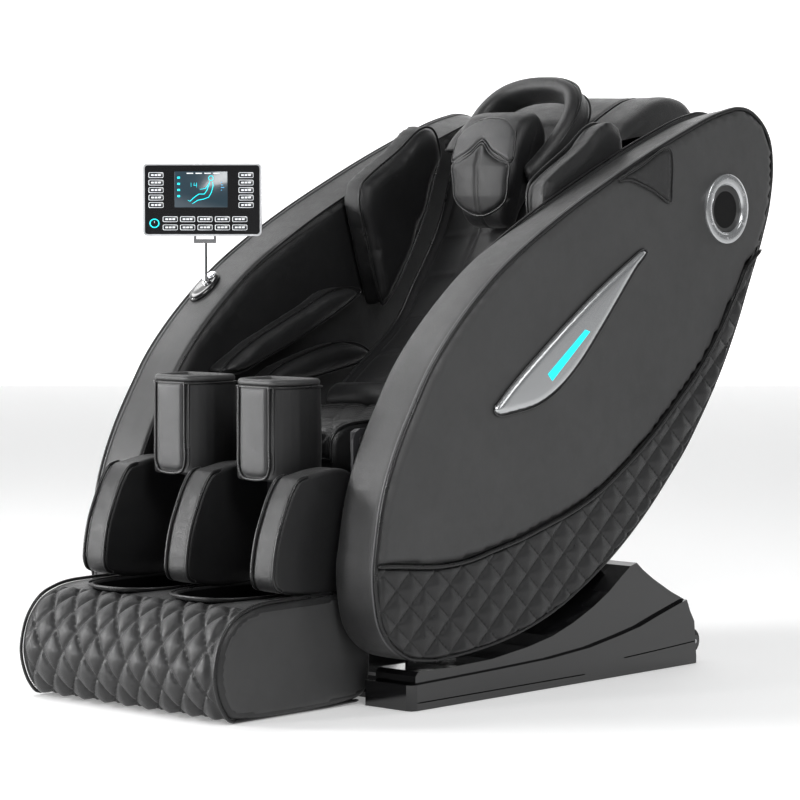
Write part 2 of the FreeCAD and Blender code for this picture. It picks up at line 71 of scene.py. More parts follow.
# ------------------------------------------------------------------ materials
def new_mat(name):
    m = bpy.data.materials.new(name)
    m.use_nodes = True
    nt = m.node_tree
    nt.nodes.clear()
    out = nt.nodes.new("ShaderNodeOutputMaterial")
    b = nt.nodes.new("ShaderNodeBsdfPrincipled")
    nt.links.new(b.outputs[0], out.inputs[0])
    return m, nt, b


def mix_color(nt, fac, c1, c2):
    n = nt.nodes.new("ShaderNodeMix")
    n.data_type = "RGBA"
    nt.links.new(fac, n.inputs[0])
    n.inputs[6].default_value = (*c1, 1)
    n.inputs[7].default_value = (*c2, 1)
    return n.outputs[2]


def noise(nt, scale, detail=3.0, rough=0.55, coord=None):
    n = nt.nodes.new("ShaderNodeTexNoise")
    n.inputs["Scale"].default_value = scale
    n.inputs["Detail"].default_value = detail
    n.inputs["Roughness"].default_value = rough
    nt.links.new(coord, n.inputs["Vector"])
    return n.outputs[0]


def ramp(nt, src, a, b, lo=0.0, hi=1.0):
    n = nt.nodes.new("ShaderNodeMapRange")
    n.inputs[1].default_value = a
    n.inputs[2].default_value = b
    n.inputs[3].default_value = lo
    n.inputs[4].default_value = hi
    nt.links.new(src, n.inputs[0])
    return n.outputs[0]


def bump(nt, bsdf, height, dist, strength=1.0, prev=None):
    n = nt.nodes.new("ShaderNodeBump")
    n.inputs["Strength"].default_value = strength
    n.inputs["Distance"].default_value = dist
    nt.links.new(height, n.inputs["Height"])
    if prev is not None:
        nt.links.new(prev, n.inputs["Normal"])
    nt.links.new(n.outputs[0], bsdf.inputs["Normal"])
    return n.outputs[0]


def coords(nt):
    return nt.nodes.new("ShaderNodeTexCoord").outputs["Object"]


def leather(name, col, rough=0.42, var=0.25, grain=0.00022, wrinkle=0.0006, sheen=0.08, spec=0.45):
    m, nt, b = new_mat(name)
    co = coords(nt)
    big = noise(nt, 9.0, 4.0, 0.6, co)
    c = mix_color(nt, ramp(nt, big, 0.3, 0.7), [v * (1 - var) for v in col], [min(1, v * (1 + var)) for v in col])
    nt.links.new(c, b.inputs["Base Color"])
    nt.links.new(ramp(nt, noise(nt, 38.0, 5.0, 0.6, co), 0.3, 0.7, rough - 0.06, rough + 0.08), b.inputs["Roughness"])
    b.inputs["Specular IOR Level"].default_value = spec
    b.inputs["Sheen Weight"].default_value = sheen
    b.inputs["Sheen Roughness"].default_value = 0.4
    vo = nt.nodes.new("ShaderNodeTexVoronoi")
    vo.feature = "DISTANCE_TO_EDGE"
    vo.inputs["Scale"].default_value = 520.0
    nt.links.new(co, vo.inputs["Vector"])
    cells = ramp(nt, vo.outputs["Distance"], 0.0, 0.22)
    n1 = bump(nt, b, noise(nt, 55.0, 5.0, 0.6, co), wrinkle, 0.6)
    bump(nt, b, cells, grain, 0.7, n1)
    return m


def plain(name, col, rough=0.4, metal=0.0, coat=0.0, spec=0.5, fine=0.0, scale=300.0, smudge=0.05, em=None, es=0.0):
    m, nt, b = new_mat(name)
    b.inputs["Base Color"].default_value = (*col, 1)
    b.inputs["Metallic"].default_value = metal
    b.inputs["Coat Weight"].default_value = coat
    b.inputs["Coat Roughness"].default_value = 0.06
    b.inputs["Specular IOR Level"].default_value = spec
    co = coords(nt)
    nt.links.new(ramp(nt, noise(nt, 14.0, 5.0, 0.6, co), 0.3, 0.7, max(0.02, rough - smudge), rough + smudge), b.inputs["Roughness"])
    if fine:
        bump(nt, b, noise(nt, scale, 2.0, 0.5, co), fine, 0.6)
    if em:
        b.inputs["Emission Color"].default_value = (*em, 1)
        b.inputs["Emission Strength"].default_value = es
    return m


LEATHER = leather("leather_dark", (0.015, 0.015, 0.0155), 0.35, 0.2)
# rim leather, twice as light as the dark leather: a painted highlight along the shell rims and knee rims
LEATHER_RIM_PAINTED_HIGHLIGHT = leather("leather_rim_painted_highlight", (0.030, 0.030, 0.0305), 0.34, 0.2)
LEATHER_PANEL = leather("leather_panel", (0.040, 0.040, 0.0405), 0.46, 0.08, 0.00016, 0.0002, 0.03)
LEATHER_QUILT = leather("leather_quilt", (0.010, 0.010, 0.0105), 0.33, 0.2, 0.0002, 0.0004)
# lighter copy of the dark leather for front-facing faces: a painted highlight on the knee faces and the head band
LEATHER_FRONT_PAINTED_HIGHLIGHT = leather("leather_front_painted_highlight", (0.034, 0.034, 0.035), 0.38, 0.15)
# darkest leather: the black leather of the pads, and painted shade on the shell's inner face, the head pad cover and
# fold and the knee slots
LEATHER_BLACK_AND_SHADE = leather("leather_black_and_shade", (0.008, 0.008, 0.0085), 0.38, 0.2)
# near-black, almost glossless leather: painted shade laid into the knee hollows, the foot wells and the skirt grooves
PAINTED_SHADE_LINING = leather("painted_shade_lining", (0.0022, 0.0022, 0.0024), 0.85, 0.2, 0.0003, 0.0008, 0.0, 0.03)
PIPING = leather("piping", (0.006, 0.006, 0.0064), 0.30, 0.1, 0.0001, 0.0001)
# light grey cord: a painted highlight laid beside the black rim piping
PIPING_PAINTED_HIGHLIGHT = leather("piping_painted_highlight", (0.10, 0.10, 0.103), 0.32, 0.1, 0.0001, 0.0001)
THREAD = plain("thread", (0.035, 0.035, 0.036), 0.6, fine=0.0001, scale=2500)
GLOSS = plain("gloss_black", (0.004, 0.004, 0.0045), 0.14, coat=0.5, fine=0.00003, scale=60)
MATTE = plain("matte_black", (0.010, 0.010, 0.0105), 0.5, fine=0.0001, scale=900)
PAINT = plain("steel_paint", (0.03, 0.03, 0.033), 0.45, metal=0.2, fine=0.0001, scale=500)
STEEL = plain("steel", (0.55, 0.55, 0.57), 0.32, metal=1.0)
CHROME = plain("chrome", (0.78, 0.78, 0.80), 0.12, metal=1.0)
SILVER = plain("silver", (0.58, 0.59, 0.60), 0.24, metal=0.9, coat=0.4, smudge=0.03)
RUBBER = plain("rubber", (0.02, 0.02, 0.02), 0.75, fine=0.0002, scale=400)
WHITE = plain("tablet_white", (0.72, 0.73, 0.75), 0.24, metal=0.15, coat=0.5)
SCREEN = plain("screen_glass", (0.004, 0.004, 0.005), 0.12, coat=0.8, smudge=0.02)
CYAN = plain("cyan_light", (0.02, 0.45, 0.50), 0.4, em=(0.0, 0.78, 0.86), es=1.25)
GLOW = plain("screen_glow", (0.05, 0.25, 0.45), 0.4, em=(0.10, 0.45, 0.75), es=0.8)
KEY = plain("touch_key", (0.02, 0.022, 0.025), 0.25, coat=0.3)
MARK = plain("key_mark", (0.8, 0.82, 0.84), 0.5, em=(0.8, 0.85, 0.9), es=0.35)
POLYMER = plain("massage_polymer", (0.16, 0.14, 0.11), 0.5, fine=0.0001, scale=600)
FLOOR = plain("studio_floor", (0.86, 0.86, 0.86), 0.75, spec=0.2, em=(1, 1, 1), es=0.22)


def grille_mat():
    m, nt, b = new_mat("speaker_cloth")
    co = coords(nt)
    vo = nt.nodes.new("ShaderNodeTexVoronoi")
    vo.inputs["Scale"].default_value = 420.0
    vo.inputs["Randomness"].default_value = 0.0
    nt.links.new(co, vo.inputs["Vector"])
    h = ramp(nt, vo.outputs["Distance"], 0.15, 0.45)
    nt.links.new(mix_color(nt, h, (0.0008, 0.0008, 0.0008), (0.005, 0.005, 0.0053)), b.inputs["Base Color"])
    b.inputs["Roughness"].default_value = 0.7
    b.inputs["Specular IOR Level"].default_value = 0.2
    bump(nt, b, h, 0.0004, 0.8)
    return m


GRILLE = grille_mat()


# ------------------------------------------------------------------ geometry tools (millimetres in, metres out)
def make(name, verts, faces, mat, smooth=True, angle=None):
    me = bpy.data.meshes.new(name)
    me.from_pydata([tuple(float(c) * MM for c in v) for v in verts], [], [tuple(int(i) for i in f) for f in faces])
    me.validate()
    if smooth:
        me.polygons.foreach_set("use_smooth", [True] * len(me.polygons))
        if angle:
            me.set_sharp_from_angle(angle=math.radians(angle))
    me.update()
    ob = bpy.data.objects.new(name, me)
    bpy.context.scene.collection.objects.link(ob)
    me.materials.append(mat)
    return ob


def catmull(P, closed, k):
    P = np.asarray(P, float)
    n = len(P)
    out = []
    rng = range(n) if closed else range(n - 1)
    for i in rng:
        p1, p2 = P[i], P[(i + 1) % n]
        p0 = P[i - 1] if (closed or i > 0) else p1 * 2 - p2
        p3 = P[(i + 2) % n] if (closed or i + 2 < n) else p2 * 2 - p1
        d = [max(1e-6, np.linalg.norm(b - a)) ** 0.5 for a, b in ((p0, p1), (p1, p2), (p2, p3))]
        m1 = (p1 - p0) / d[0] - (p2 - p0) / (d[0] + d[1]) + (p2 - p1) / d[1]
        m2 = (p2 - p1) / d[1] - (p3 - p1) / (d[1] + d[2]) + (p3 - p2) / d[2]
        m1, m2 = m1 * d[1], m2 * d[1]
        for t in np.linspace(0, 1, k, endpoint=False):
            a = 2 * t**3 - 3 * t**2 + 1
            out.append(a * p1 + (t**3 - 2 * t**2 + t) * m1 + (1 - a) * p2 + (t**3 - t**2) * m2)
    if not closed:
        out.append(P[-1])
    return np.array(out)


def resample(P, step, closed=True, curved=True):
    """Evenly spaced points, arc length and outward normals of an outline."""
    Q = catmull(P, closed, 12) if curved else np.asarray(P, float)
    if closed:
        Q = np.vstack([Q, Q[:1]])
    L = np.concatenate([[0], np.cumsum(np.linalg.norm(np.diff(Q, axis=0), axis=1))])
    n = max(4, int(round(L[-1] / step)))
    s = np.linspace(0, L[-1], n, endpoint=not closed)
    R = np.stack([np.interp(s, L, Q[:, k]) for k in range(Q.shape[1])], 1)
    if R.shape[1] == 2:
        if closed:
            T = np.roll(R, -1, 0) - np.roll(R, 1, 0)
        else:
            T = np.gradient(R, axis=0)
        T /= np.linalg.norm(T, axis=1)[:, None]
        area = np.sum(Q[:-1, 0] * Q[1:, 1] - Q[1:, 0] * Q[:-1, 1])
        sg = 1 if area > 0 else -1
        Nn = np.stack([T[:, 1] * sg, -T[:, 0] * sg], 1)
        return R, s, Nn
    return R, s, None


def rounded_x(x0, x1, r, dx, k=6):
    t = np.linspace(0, math.pi / 2, k)
    a = x0 + r * (1 - np.cos(t))
    mid = np.linspace(x0 + r, x1 - r, max(2, int((x1 - x0 - 2 * r) / dx) + 1))
    xs = np.concatenate([a, mid[1:-1], (x0 + x1) - a[::-1]])
    e = np.minimum(xs - x0, x1 - xs)
    off = np.where(e < r, r - np.sqrt(np.maximum(0, r * r - (r - e) ** 2)), 0)
    return xs, off


def skin(name, prof, x0, x1, mat, step=6.0, dx=6.0, r=10.0, disp=None, caps=True, curved=True, closed=True, off_fn=None):
    """Padded cover over an outline in the side plane, from x0 to x1, with rolled edges of radius r."""
    P, S, Nn = resample(prof, step, closed, curved)
    xs, off = rounded_x(x0, x1, r, dx)
    n, m = len(P), len(xs)
    D = np.zeros((m, n))
    if disp is not None:
        D = disp(S[None, :] + 0 * xs[:, None], xs[:, None] + 0 * S[None, :], P[None, :, 0] + 0 * xs[:, None], P[None, :, 1] + 0 * xs[:, None])
    Q = P[None] + Nn[None] * (D - off[:, None])[..., None]
    verts = np.zeros((m * n, 3))
    verts[:, 0] = np.repeat(xs, n)
    verts[:, 1:] = Q.reshape(-1, 2)
    faces = []
    w = n if closed else n - 1
    for i in range(m - 1):
        for j in range(w):
            k = (j + 1) % n
            faces.append((i * n + j, i * n + k, (i + 1) * n + k, (i + 1) * n + j))
    if caps and closed:
        faces.append(tuple(range(n))[::-1])
        faces.append(tuple((m - 1) * n + j for j in range(n)))
    ob = make(name, verts, faces, mat)
    fix_normals(ob)
    return ob


def fix_normals(ob):
    import bmesh
    bm = bmesh.new()
    bm.from_mesh(ob.data)
    bmesh.ops.recalc_face_normals(bm, faces=bm.faces)
    bm.to_mesh(ob.data)
    bm.free()
    ob.data.update()


def seg_dist(Pt, Q, closed=True):
    """Distance of points (n,2) to a polyline, and the sign of inside."""
    A = Q
    B = np.roll(Q, -1, 0) if closed else Q[1:]
    A = A if closed else Q[:-1]
    best = np.full(len(Pt), 1e9)
    inside = np.zeros(len(Pt), bool)
    for a, b in zip(A, B):
        ab = b - a
        t = np.clip(((Pt - a) @ ab) / max(1e-9, ab @ ab), 0, 1)
        d = np.linalg.norm(Pt - (a + t[:, None] * ab), axis=1)
        best = np.minimum(best, d)
        c = (a[1] > Pt[:, 1]) != (b[1] > Pt[:, 1])
        with np.errstate(divide="ignore", invalid="ignore"):
            xx = (b[0] - a[0]) * (Pt[:, 1] - a[1]) / (b[1] - a[1]) + a[0]
        inside ^= c & (Pt[:, 0] < xx)
    return best, inside


def grid_fill(outline, step):
    """Outline points, inner grid points and triangles."""
    Q = np.asarray(outline)
    lo, hi = Q.min(0), Q.max(0)
    g = np.stack(np.meshgrid(np.arange(lo[0], hi[0], step), np.arange(lo[1], hi[1], step * 0.87)), -1)
    g[1::2, :, 0] += step / 2
    g = g.reshape(-1, 2)
    d, ins = seg_dist(g, Q)
    g = g[ins & (d > step * 0.55)]
    pts = np.vstack([Q, g])
    n = len(Q)
    out = geometry.delaunay_2d_cdt([V3(p) for p in pts], [(i, (i + 1) % n) for i in range(n)], [], 1, 1e-4)
    v, f = np.array([list(p) for p in out[0]]), out[2]
    return v, f, n


def pad(name, outline, place, mat, top, base=0.0, r=12.0, step=5.0, height=None, close=True, curved=True, edge=4.0):
    """Stuffed panel over an outline: rolled edge of radius r, level top plus height(u, v, d)."""
    Q, _, _ = resample(outline, edge, True, curved)
    v, f, n = grid_fill(Q, step)
    d, _ = seg_dist(v, Q)
    d[:n] = 0
    e = np.clip(d / r, 0, 1)
    h = base + (top - base) * np.sqrt(np.maximum(0, 1 - (1 - e) ** 2))
    if height is not None:
        h = h + height(v[:, 0], v[:, 1], d) * np.clip(d / (0.6 * r), 0, 1)
    verts = [place(a, b, c) for (a, b), c in zip(v, h)]
    faces = [tuple(t) for t in f]
    if close:
        m = len(verts)
        # walls down to the base and a flat back, sharing the outline
        back = [place(a, b, min(base, 0.0) - 0.5) for a, b in v[:n]]
        verts += back
        for i in range(n):
            k = (i + 1) % n
            faces.append((i, m + i, m + k, k))
        faces.append(tuple(m + i for i in range(n)))
    ob = make(name, verts, faces, mat)
    fix_normals(ob)
    return ob


def tube(name, pts, r, mat, closed=False, n=8, sy=1.0, step=None, normals=None, curved=True):
    """Round cord through 3-D points."""
    P = np.asarray(pts, float)
    if step:
        P = resample(P, step, closed, curved)[0]
    m = len(P)
    if closed:
        T = np.roll(P, -1, 0) - np.roll(P, 1, 0)
    else:
        T = np.gradient(P, axis=0)
    T /= np.maximum(1e-9, np.linalg.norm(T, axis=1))[:, None]
    up = np.array([0.31, 0.12, 0.94])
    verts, a = [], None
    for i in range(m):
        if a is None:
            a = np.cross(T[i], up)
        a = a - T[i] * (a @ T[i])
        a /= np.linalg.norm(a)
        b = np.cross(T[i], a)
        rr = r if closed or not (i == 0 or i == m - 1) else r * 0.55
        for k in range(n):
            t = 2 * math.pi * k / n
            verts.append(P[i] + a * math.cos(t) * rr + b * math.sin(t) * rr * sy)
    faces = []
    for i in range(m if closed else m - 1):
        j = (i + 1) % m
        for k in range(n):
            l = (k + 1) % n
            faces.append((i * n + k, i * n + l, j * n + l, j * n + k))
    if not closed:
        faces.append(tuple(range(n))[::-1])
        faces.append(tuple((m - 1) * n + k for k in range(n)))
    ob = make(name, verts, faces, mat)
    fix_normals(ob)
    return ob


def stitches(name, pts, mat=None, pitch=5.5, length=3.6, r=0.45, step=1.0):
    """Row of raised thread stitches along 3-D points."""
    P = resample(np.asarray(pts, float), step, False, True)[0]
    L = np.concatenate([[0], np.cumsum(np.linalg.norm(np.diff(P, axis=0), axis=1))])
    verts, faces = [], []
    s = 0.0
    while s + length < L[-1]:
        a = np.array([np.interp(s, L, P[:, k]) for k in range(3)])
        b = np.array([np.interp(s + length, L, P[:, k]) for k in range(3)])
        t = (b - a) / max(1e-9, np.linalg.norm(b - a))
        u = np.cross(t, [0.3, 0.2, 0.93])
        u /= np.linalg.norm(u)
        w = np.cross(t, u)
        base = len(verts)
        for q, rr in ((a, 0.3), (a * 0.75 + b * 0.25, 1.0), (a * 0.25 + b * 0.75, 1.0), (b, 0.3)):
            for k in range(5):
                g = 2 * math.pi * k / 5
                verts.append(q + (u * math.cos(g) + w * math.sin(g)) * r * rr)
        for ring in range(3):
            for k in range(5):
                l = (k + 1) % 5
                faces.append((base + ring * 5 + k, base + ring * 5 + l, base + ring * 5 + 5 + l, base + ring * 5 + 5 + k))
        s += pitch
    return make(name, verts, faces, mat or THREAD)


def inset(pts, d):
    n = len(pts)
    area = sum(pts[i][0] * pts[(i + 1) % n][1] - pts[(i + 1) % n][0] * pts[i][1] for i in range(n))
    s = 1 if area > 0 else -1
    out = []
    for i in range(n):
        a, b, c = pts[i - 1], pts[i], pts[(i + 1) % n]
        u, w = (b[0] - a[0], b[1] - a[1]), (c[0] - b[0], c[1] - b[1])
        lu, lw = math.hypot(*u), math.hypot(*w)
        n1, n2 = (-u[1] / lu * s, u[0] / lu * s), (-w[1] / lw * s, w[0] / lw * s)
        q = (n1[0] + n2[0], n1[1] + n2[1])
        k = d / max(0.5, (q[0] * n1[0] + q[1] * n1[1]))
        out.append((b[0] + q[0] * k, b[1] + q[1] * k))
    return out


def quilt(u, v, a, b, depth, w=0.22):
    """Diamond quilting: cells a wide and b tall, grooves between puffed cells."""
    f = np.abs(np.sin(np.pi * (u / a + v / b)))
    g = np.abs(np.sin(np.pi * (u / a - v / b)))
    m = np.minimum(f, g)
    return depth * (0.42 * (1 - np.exp(-m / 0.10)) + 0.58 * m ** 0.9 * (0.6 + 0.4 * np.maximum(f, g))) - depth * 0.5


def inflate(ob, move=6.0, pressure=4.0, voxel=5.0, frames=20, smooth_in=0):
    """Blows the cover up as cloth under inner pressure and keeps the result, no vertex going further than move mm."""
    sc = bpy.context.scene
    bpy.context.view_layer.objects.active = ob
    for o in bpy.context.selected_objects:
        o.select_set(False)
    ob.select_set(True)
    md = ob.modifiers.new("remesh", "REMESH")
    md.mode = "VOXEL"
    md.voxel_size = voxel * MM
    md.use_smooth_shade = True
    bpy.ops.object.modifier_apply(modifier="remesh")
    start = np.array([v.co[:] for v in ob.data.vertices])
    cl = ob.modifiers.new("cloth", "CLOTH")
    st = cl.settings
    st.use_pressure = True
    st.uniform_pressure_force = pressure
    st.quality = 6
    st.mass = 0.3
    st.tension_stiffness = 25
    st.compression_stiffness = 12
    st.bending_stiffness = 0.4
    st.effector_weights.gravity = 0.0
    cl.point_cache.frame_start, cl.point_cache.frame_end = 1, frames
    for f in range(1, frames + 1):
        sc.frame_set(f)
    ev = ob.evaluated_get(bpy.context.evaluated_depsgraph_get())
    end = np.array([v.co[:] for v in ev.data.vertices])
    ob.modifiers.clear()
    sc.frame_set(1)
    if len(end) == len(start) and np.isfinite(end).all():
        d = end - start
        l = np.linalg.norm(d, axis=1)
        k = np.minimum(1.0, move * MM / np.maximum(l, 1e-9))
        new = start + d * k[:, None]
        ob.data.vertices.foreach_set("co", new.ravel())
        ob.data.update()
    sub = ob.modifiers.new("relax", "SMOOTH")
    sub.factor = 0.5
    sub.iterations = 3
    bpy.ops.object.modifier_apply(modifier="relax")
    ob.data.polygons.foreach_set("use_smooth", [True] * len(ob.data.polygons))
    return ob


def put(ob, body, *nodes, padded=None, slot=None):
    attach(ob, body)
    if nodes:
        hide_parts(*nodes)
    return ob


# ------------------------------------------------------------------ outlines (y, z), millimetres
SHELL = [(-282, 82), (-322, 85), (-350, 90), (-372, 99), (-394, 113), (-414, 133), (-430, 161), (-440, 206),
         (-443, 251), (-438, 294), (-420, 381), (-384, 467), (-333, 553), (-298, 605), (-252, 657), (-194, 711),
         (-114, 774), (-22, 831), (83, 887), (200, 942), (288, 981), (375, 1017), (470, 1053), (519, 1070),
         (569, 1083), (604, 1089), (638, 1086), (666, 1074), (691, 1055), (708, 1033), (716, 1012), (720, 982),
         (720, 957), (716, 926), (707, 886), (692, 846), (676, 808), (660, 776), (639, 733), (609, 670),
         (577, 611), (546, 561), (514, 516), (481, 473), (440, 423), (387, 370), (324, 312), (261, 262),
         (213, 229), (168, 202), (122, 177), (60, 147), (-10, 122), (-80, 104), (-152, 92), (-222, 85)]
SEAM = [(-443, 264), (-398, 261), (-297, 252), (-246, 252), (-198, 256), (-141, 267), (-65, 282), (0, 299),
        (102, 328), (178, 360), (255, 404), (332, 455), (412, 519), (469, 567), (517, 616), (562, 671),
        (617, 749), (638, 779), (676, 808)]
BL = [(-137, 526), (-128, 517), (-72, 520), (-15, 530), (42, 555), (100, 597), (158, 654), (218, 718), (272, 776), (306, 808),
      (296, 813), (248, 790), (158, 738), (70, 681), (-16, 622), (-72, 582), (-114, 549)]
TRI = [(221, 944), (254, 945), (320, 926), (379, 903), (382, 927), (384, 975), (380, 1000), (368, 1008), (288, 973)]
AU = [(-231, 576), (-163, 624), (-81, 661), (3, 696), (74, 727), (132, 733), (166, 724), (144, 708), (63, 668), (-22, 630), (-106, 598), (-180, 572)]
AL = [(-120, 545), (-22, 549), (91, 566), (160, 580), (192, 598), (176, 611), (149, 620), (91, 623), (-22, 598), (-92, 572)]
SP = [(136, 900), (142, 940), (168, 962), (255, 1014), (316, 1056), (349, 1064), (374, 1052), (392, 1000), (378, 960), (352, 890), (316, 820), (262, 735), (216, 688), (206, 690), (184, 740), (156, 830)]
F = [(-3, 509), (20, 522), (55, 553), (127, 606), (180, 646), (209, 675), (253, 741), (298, 806), (330, 862), (355, 930), (376, 985)]
i0, i1 = SHELL.index((-438, 294)), SHELL.index((692, 846))
UPPER = SHELL[i0:i1 + 1] + SEAM[::-1]
LOWER = SHELL[i1 + 2:] + SHELL[:i0] + SEAM[:-1]
ST = 5.0


def off2(pts, d, closed=True):
    P, _, Nn = resample(pts, 6, closed)
    return P + Nn * d


def yz(P, x):
    return [(x, p[0], p[1]) for p in P]


# ------------------------------------------------------------------ side shells
def smooth(t):
    t = np.clip(t, 0, 1)
    return t * t * (3 - 2 * t)


def rim_disp(S, X, Y, Z):
    t = (np.abs(X) - 273) / 95.0
    above = Z > 264 + (Y + 443) * 0.486 + 20
    drop = np.where(above, 2 + 14 * smooth((Z - 780) / 160), 0.0)
    return -drop * (1 - t) + 1.0 * np.sin(np.pi * np.clip(t, 0, 1)) + 0.4 * np.sin(Y / 37.0 + X / 29.0) * np.sin(np.pi * np.clip(t, 0, 1))


for s, side in ((1, "left"), (-1, "right")):
    # rim cover in the lighter rim leather, which paints a highlight along the rim
    rim = skin("rim_cover_" + side, SHELL, *sorted((s * 273, s * 370)), LEATHER_RIM_PAINTED_HIGHLIGHT, step=7, dx=8, r=9, disp=rim_disp, caps=False)
    put(rim, "chassis", "side_rim_" + side, padded=0.95)
    # a thin light grey cord that paints the highlight on the black piping, and the black piping beside it, between rim
    # and outer panel
    put(tube("rim_piping_light_" + side, yz(off2(SHELL, -0.5), s * 366.5), 2.6, PIPING_PAINTED_HIGHLIGHT, closed=True, step=8), "chassis")
    put(tube("rim_piping_black_" + side, yz(off2(SHELL, -1.0), s * 373.5), 4.0, PIPING, closed=True, step=8), "chassis")
    put(tube("rim_piping_inner_" + side, yz([p + n * (-7.5) - (0, 0) for p, n in zip(*[resample(SHELL, 8)[k] for k in (0, 2)])], s * 275.0), 2.4, PIPING, closed=True), "chassis")
    up = pad("side_cover_" + side, inset(UPPER, 2.0), lambda u, v, h, s=s: (s * (368 + h), u, v), LEATHER_PANEL, 12.0, r=8, step=10,
             height=lambda u, v, d: 2.4 * (1 - np.exp(-d / 60.0)) + 0.5 * np.sin(u / 61.0 + v / 83.0), edge=7)
    put(up, "chassis", "side_panel_" + side, padded=0.95)
    qa, qb = 71.0, 62.0
    lo = pad("side_quilting_" + side, inset(LOWER, 2.0), lambda u, v, h, s=s: (s * (368 + h), u, v), LEATHER_QUILT, 9.0, r=8, step=ST * 0.8,
             height=lambda u, v, d: quilt(u, v, qa, qb, 8.5, 0.30) + 1.5, edge=6)
    put(lo, "chassis", "side_quilt_" + side, padded=0.9)
    put(tube("seam_piping_" + side, yz(resample(SEAM, 8, False)[0], s * 381.5), 3.6, PIPING, step=8), "chassis")
    put(stitches("seam_stitches_" + side, yz(off2(SEAM, 8.0, False), s * 383.6)), "chassis")
    # shell's inner face in the darkest leather: painted shade inside the shell
    lin = pad("shell_lining_" + side, inset(SHELL, 8.0), lambda u, v, h, s=s: (s * (281 - h), u, v), LEATHER_BLACK_AND_SHADE, 8.0, r=8, step=16,
              height=lambda u, v, d: 2.0 * (1 - np.exp(-d / 70.0)) + 0.6 * np.sin(u / 53.0 + v / 41.0), edge=8)
    put(lin, "chassis", "side_liner_" + side, padded=0.9)
    for nm, ol in (("upper", AU), ("lower", AL)):
        a = pad("arm_pad_" + nm + "_" + side, inset(ol, 0.6), lambda u, v, h, s=s: (s * (273 - h), u, v), LEATHER, 49.0, r=13, step=6,
                height=lambda u, v, d: 3.0 * (1 - np.exp(-d / 14.0)) + 0.7 * np.sin(u / 13.0) * np.exp(-d / 12.0), edge=4)
        inflate(a, 4.0, voxel=4.5)
        put(a, "chassis", "arm_pads_" + nm, padded=0.85)
        put(tube("arm_piping_" + nm + "_" + side, yz(off2(ol, -0.6), s * 236.5), 2.1, PIPING, closed=True, step=6), "chassis")
    tri = pad("corner_trim_" + side, inset(TRI, 1.2), lambda u, v, h, s=s: (s * (379 + h), u, v), LEATHER_BLACK_AND_SHADE, 5.5, r=7, step=6,
              height=lambda u, v, d: 1.6 * (1 - np.exp(-d / 20.0)), edge=4)
    put(tri, "chassis", "corner_insets", padded=0.9)
    put(tube("corner_piping_" + side, yz(resample(TRI, 5)[0], s * 384.5), 2.0, PIPING, closed=True, step=5), "chassis")
    bl = pad("blade_" + side, BL, lambda u, v, h, s=s: (s * (380 + h), u, v), SILVER, 8.6, r=13, step=4,
             height=lambda u, v, d: 0.5 * (1 - np.exp(-d / 10.0)), edge=3)
    put(bl, "chassis", "blade_housings")
    put(tube("blade_outline_" + side, yz(off2(BL, 1.2), s * 384.5), 1.7, GLOSS, closed=True, step=5), "chassis")


def lathe(name, prof, centre, axis_sign, mat, n=72):
    """Turned piece about an X axis: profile of (radius, x)."""
    verts, faces = [], []
    for r, x in prof:
        for k in range(n):
            t = 2 * math.pi * k / n
            verts.append((axis_sign * (x + 2.6), centre[0] + r * math.cos(t), centre[1] + r * math.sin(t)))
    for i in range(len(prof) - 1):
        for k in range(n):
            l = (k + 1) % n
            faces.append((i * n + k, i * n + l, (i + 1) * n + l, (i + 1) * n + k))
    ob = make(name, verts, faces, mat, angle=35)
    fix_normals(ob)
    return ob


for s, side in ((1, "left"), (-1, "right")):
    sp = (555.5, 890.0)
    put(lathe("speaker_ring_" + side, [(69, 380), (69, 383.5), (68.2, 385.6), (66.4, 386.6), (60, 386.9), (52.5, 386.5), (50.2, 385.6), (48, 382.5), (46.6, 378), (46.3, 372), (66, 372), (69, 380)],
              sp, s, SILVER), "chassis", "speaker_rings")
    put(lathe("speaker_cloth_" + side, [(46.2, 376), (46.0, 377.5), (43, 379.0), (34, 380.2), (20, 381.0), (6, 381.3), (0.05, 381.3)], sp, s, GRILLE), "chassis", "speaker_grilles")
    put(lathe("speaker_trim_" + side, [(48.6, 381.2), (49.2, 383.4), (48.2, 384.4), (47.0, 383.4), (46.8, 381.2)], sp, s, SILVER), "chassis")
    for k in range(6):
        t = math.radians(30 + 60 * k)
        c = (sp[0] + 58 * math.cos(t), sp[1] + 58 * math.sin(t))
        put(lathe("speaker_screw_%s_%d" % (side, k), [(2.6, 385.4), (2.5, 387.3), (1.6, 387.9), (0.02, 388.0)], c, s, STEEL, 16), "chassis")

# ------------------------------------------------------------------ seat
sc = [(-344, 425), (-349, 448), (-347, 474), (-334, 489), (-304, 500), (-200, 504), (-100, 505), (-12, 505), (-8, 496), (-8, 412), (-325, 411)]


def seat_disp(S, X, Y, Z):
    front = smooth((-12 - Y) / 30.0) * smooth((Z - 436) / 10.0)
    side_in = smooth((172 - np.abs(X)) / 14.0)
    q = quilt(X + 0 * S, S, 56.0, 66.0, 6.5, 0.2)
    return front * side_in * q + 2.0 * side_in * front - 1.5


